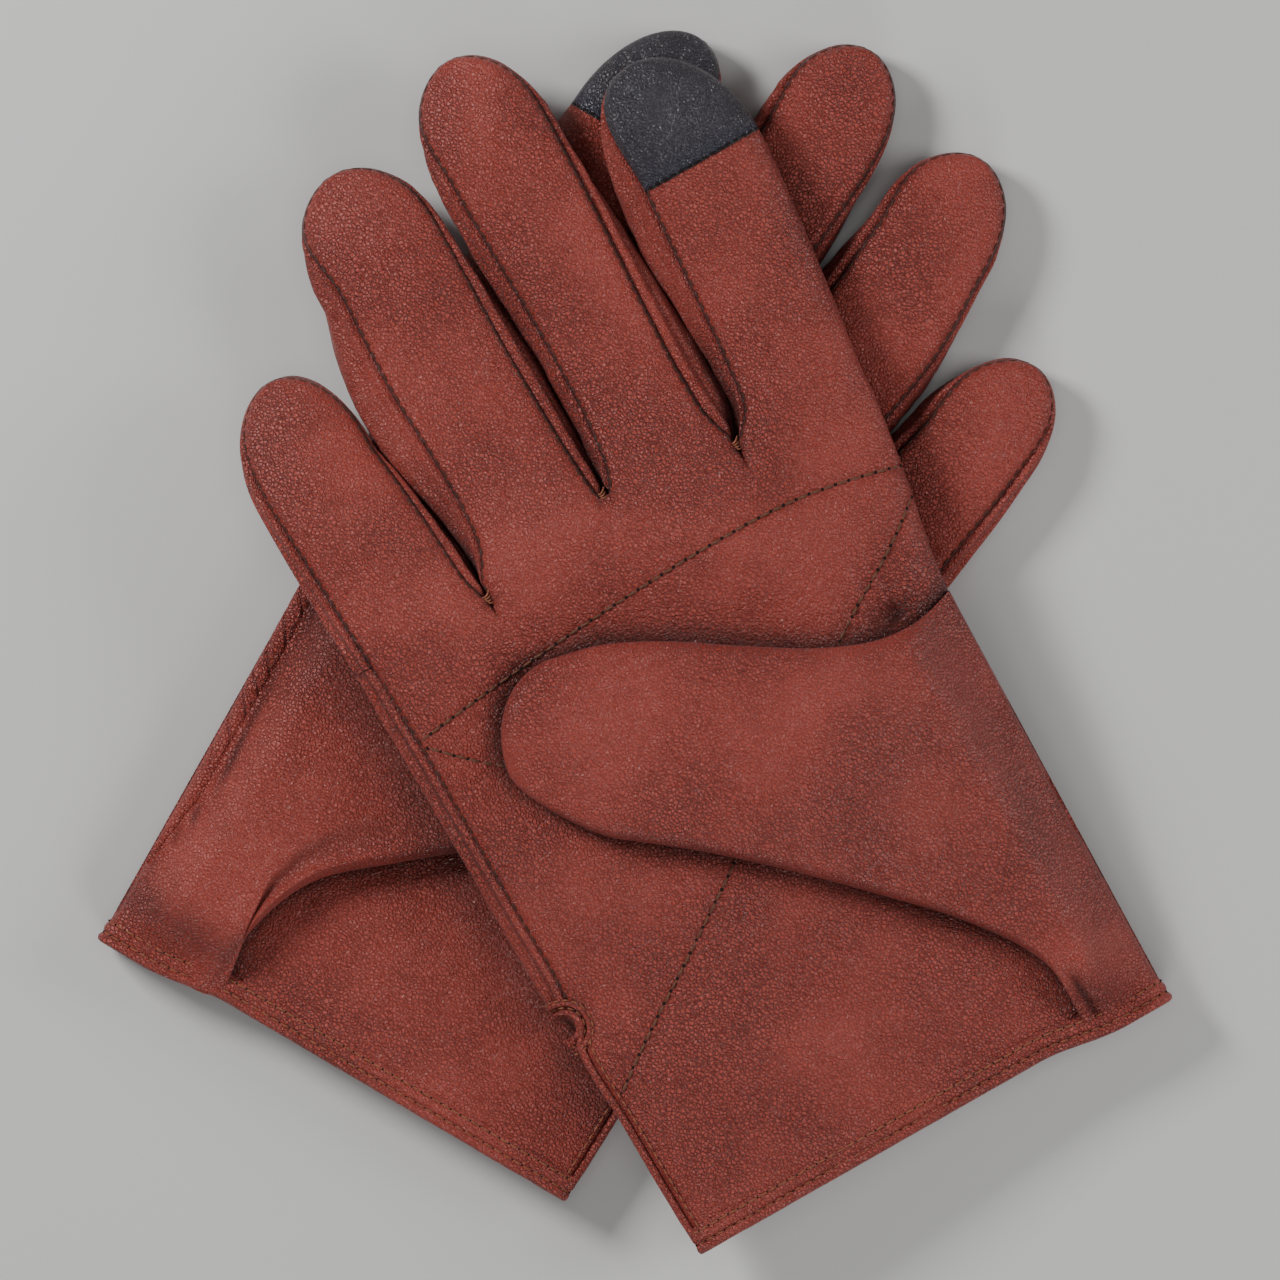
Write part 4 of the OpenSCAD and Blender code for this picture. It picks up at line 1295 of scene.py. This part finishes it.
def build_thumb(side):
    """The thumb's two leathers and its lining."""
    upper, under = thumb_sheets(side)
    top = [upper]
    if side == "left":
        top.append(edge_rope(side))
    base, edge, share, _, _ = thumb_grid(side, 2.0)
    ground = hand_height(base[..., 0], base[..., 1])
    middle = ground + 0.3 + share * (THUMB_T - 0.5) / 2
    half = share * (THUMB_T / 2 - 1.3) * rounded(edge, THUMB_ROLL) + 0.01
    walls = [np.stack([base[..., 0], base[..., 1], middle + sign * half], -1) for sign in (1, -1)]
    cores = [laid(side, wall[LINING_START:]) for wall in walls]
    front = join(f"{side}_thumb_upper_leather", side, top, COGNAC, flip=(1,) if side == "left" else ())
    back = join(f"{side}_thumb_under_leather", side, [under], COGNAC, flip=(0,))
    lining = join(f"{side}_thumb_knit_lining", side, cores, KNIT, flip=(1,))
    for obj, slot, node in ((front, "glove_leather", "thumb_front"), (back, "glove_leather", "thumb_back"),
                            (lining, "knit_lining", "thumb_lining")):
        if side == "right":
            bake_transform(obj)
        else:
            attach(obj, "left_glove")
        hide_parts(f"{side}_{node}")


def crotch_ties(side):
    """The thread ends knotted at the crotches between the fingers."""
    grids = []
    for cx, cy in crotches(side):
        for k in range(4):
            t = np.linspace(-1, 1, 9)
            x = cx + (1.0 - 0.15 * k) * t + 0.2 * math.sin(3 * k)
            y = cy + 0.9 - 0.6 * k + (0.4 - 0.25 * k) * t + 0.4 * t * t
            z = palm_level(cx, cy) - 1.9 + 0.7 * (1 - t * t) - 0.12 * k
            grids.append(tube(np.stack([x, y, z], -1), 0.2, 8))
    return grids


def build_glove(side):
    """Every piece of one glove."""
    rows = {f: finger_rows(side, f) for f in FINGERS}
    fronts = {f: finger_front(side, f, rows[f]) for f in FINGERS}
    palm, palm_worn, shade = palm_grid(side, {f: fronts[f][0] for f in FINGERS})
    normals = {f: laid(side, fronts[f][0]).normals() for f in FINGERS}
    palm_sheet = laid(side, palm, palm_worn, shade)
    palm_normals = palm_sheet.normals()
    boundary(palm_normals, normals)

    def hang(piece, slot, *nodes):
        settle(piece, side, None, nodes)

    def leather_piece(label, node, sheets, **how):
        hang(join(f"{side}_{label}_leather", side, sheets, COGNAC, **how), "glove_leather", f"{side}_{node}")

    leather_piece("palm", "palm_panel", [palm_sheet], normals=[palm_normals])
    points, shade = hand_back(side, rows["little"][0])
    leather_piece("back", "back_panel", [laid(side, points, 0.0, shade)])
    leather_piece("hem", "cuff_hem", [laid(side, hem_sheet())], flip=(0,))
    leather_piece("vent_binding", "vent_binding", [laid(side, g) for g in vent_sheets()])
    hand = inner_tube([hand_row(y) for y in np.linspace(4.5, 141, 40)], 3.0, 70)
    lining = join(f"{side}_hand_knit_lining", side, [laid(side, hand)], KNIT)
    hang(lining, "knit_lining", f"{side}_hand_lining")

    def sewn(label, paths, pitch, material, *nodes, **looks):
        stitches = threads(f"{side}_{label}_stitches", side, paths, pitch, material, **looks)
        hang(stitches, "stitching_thread", *nodes)

    def pierced(label, paths, pitch, radius):
        hang(pits(f"{side}_{label}_holes", side, paths, pitch, radius=radius), "stitching_thread")

    paths = [on_palm(side, row) for row in PALM_ROWS]
    sewn("palm_row", paths, STITCH_PITCH, ROW_THREAD, f"{side}_palm_stitching", radius=0.3, length=0.72)
    pierced("palm_row", paths, STITCH_PITCH, 0.42)
    cuff = [hem_rows(1.15, 0.5), hem_rows(3.75, 0.66)]
    sewn("cuff_row", cuff, CUFF_PITCH, BROWN_THREAD, f"{side}_cuff_stitching", radius=0.22, length=0.85)
    pierced("cuff_row", cuff, CUFF_PITCH, 0.26)
    y = np.linspace(60, 141, 120)
    x = hand_edges(y)[1] + SEAM_IN
    seam = np.stack([x, y, palm_height(side, x, y) + 0.12], -1)
    sewn("side_seam", [seam], SEAM_PITCH, DARK_THREAD, radius=0.2, length=0.72)
    sewn("vent", vent_rows(), VENT_PITCH, BROWN_THREAD, radius=0.22)
    ties = [laid(side, g) for g in crotch_ties(side)]
    hang(join(f"{side}_crotch_ties", side, ties, TIE_THREAD), "stitching_thread")
    for name in FINGERS:
        build_finger(side, name, rows[name], fronts[name], normals[name])
    build_thumb(side)


for glove in ("left", "right"):
    build_glove(glove)


# ---------------------------------------------------------------- the studio
def soft_light(name, place, size, watts):
    """A square soft light aimed at the middle of the gloves."""
    data = bpy.data.lights.new(name, "AREA")
    data.size = size
    data.energy = watts
    light = bpy.data.objects.new(name, data)
    light.location = place
    light.rotation_euler = (-light.location).to_track_quat("-Z", "Y").to_euler()
    bpy.context.collection.objects.link(light)


CAMERA_LENS = 600         # millimetres, on a sensor of 36
VIEW_WIDTH = 0.2725       # metres across the view, at the height of the gloves


def studio(floor_height):
    """A pale floor, soft lights and a camera that looks straight down."""
    floor_mesh = bpy.data.meshes.new("floor")
    floor_mesh.from_pydata([(-3, -3, 0), (3, -3, 0), (3, 3, 0), (-3, 3, 0)], [], [(0, 1, 2, 3)])
    floor = bpy.data.objects.new("floor", floor_mesh)
    floor.location.z = floor_height
    floor_mesh.materials.append(plain("floor_paint", (0.62, 0.61, 0.60, 1), 0.9, 0.01, 0.0))
    bpy.context.collection.objects.link(floor)
    soft_light("key", (-0.62, 0.42, 0.55), 0.25, 9.6)
    soft_light("fill", (0.75, 0.10, 0.42), 0.4, 4.2)
    soft_light("low", (0.15, -0.80, 0.42), 0.4, 3.6)
    soft_light("top", (0.0, 0.0, 1.3), 0.7, 3.1)
    world = bpy.data.worlds.new("studio")
    world.use_nodes = True
    world.node_tree.nodes["Background"].inputs["Color"].default_value = (0.9, 0.93, 1.0, 1)
    world.node_tree.nodes["Background"].inputs["Strength"].default_value = 0.08
    bpy.context.scene.world = world
    camera_data = bpy.data.cameras.new("camera")
    camera_data.lens = CAMERA_LENS
    camera_data.sensor_width = 36
    camera_data.clip_end = 20
    camera = bpy.data.objects.new("camera", camera_data)
    camera.location = (0.00105, -0.00021, 0.012 + VIEW_WIDTH * CAMERA_LENS / 36)
    bpy.context.collection.objects.link(camera)
    bpy.context.scene.camera = camera


scene_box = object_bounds()
studio(scene_box[0][2])
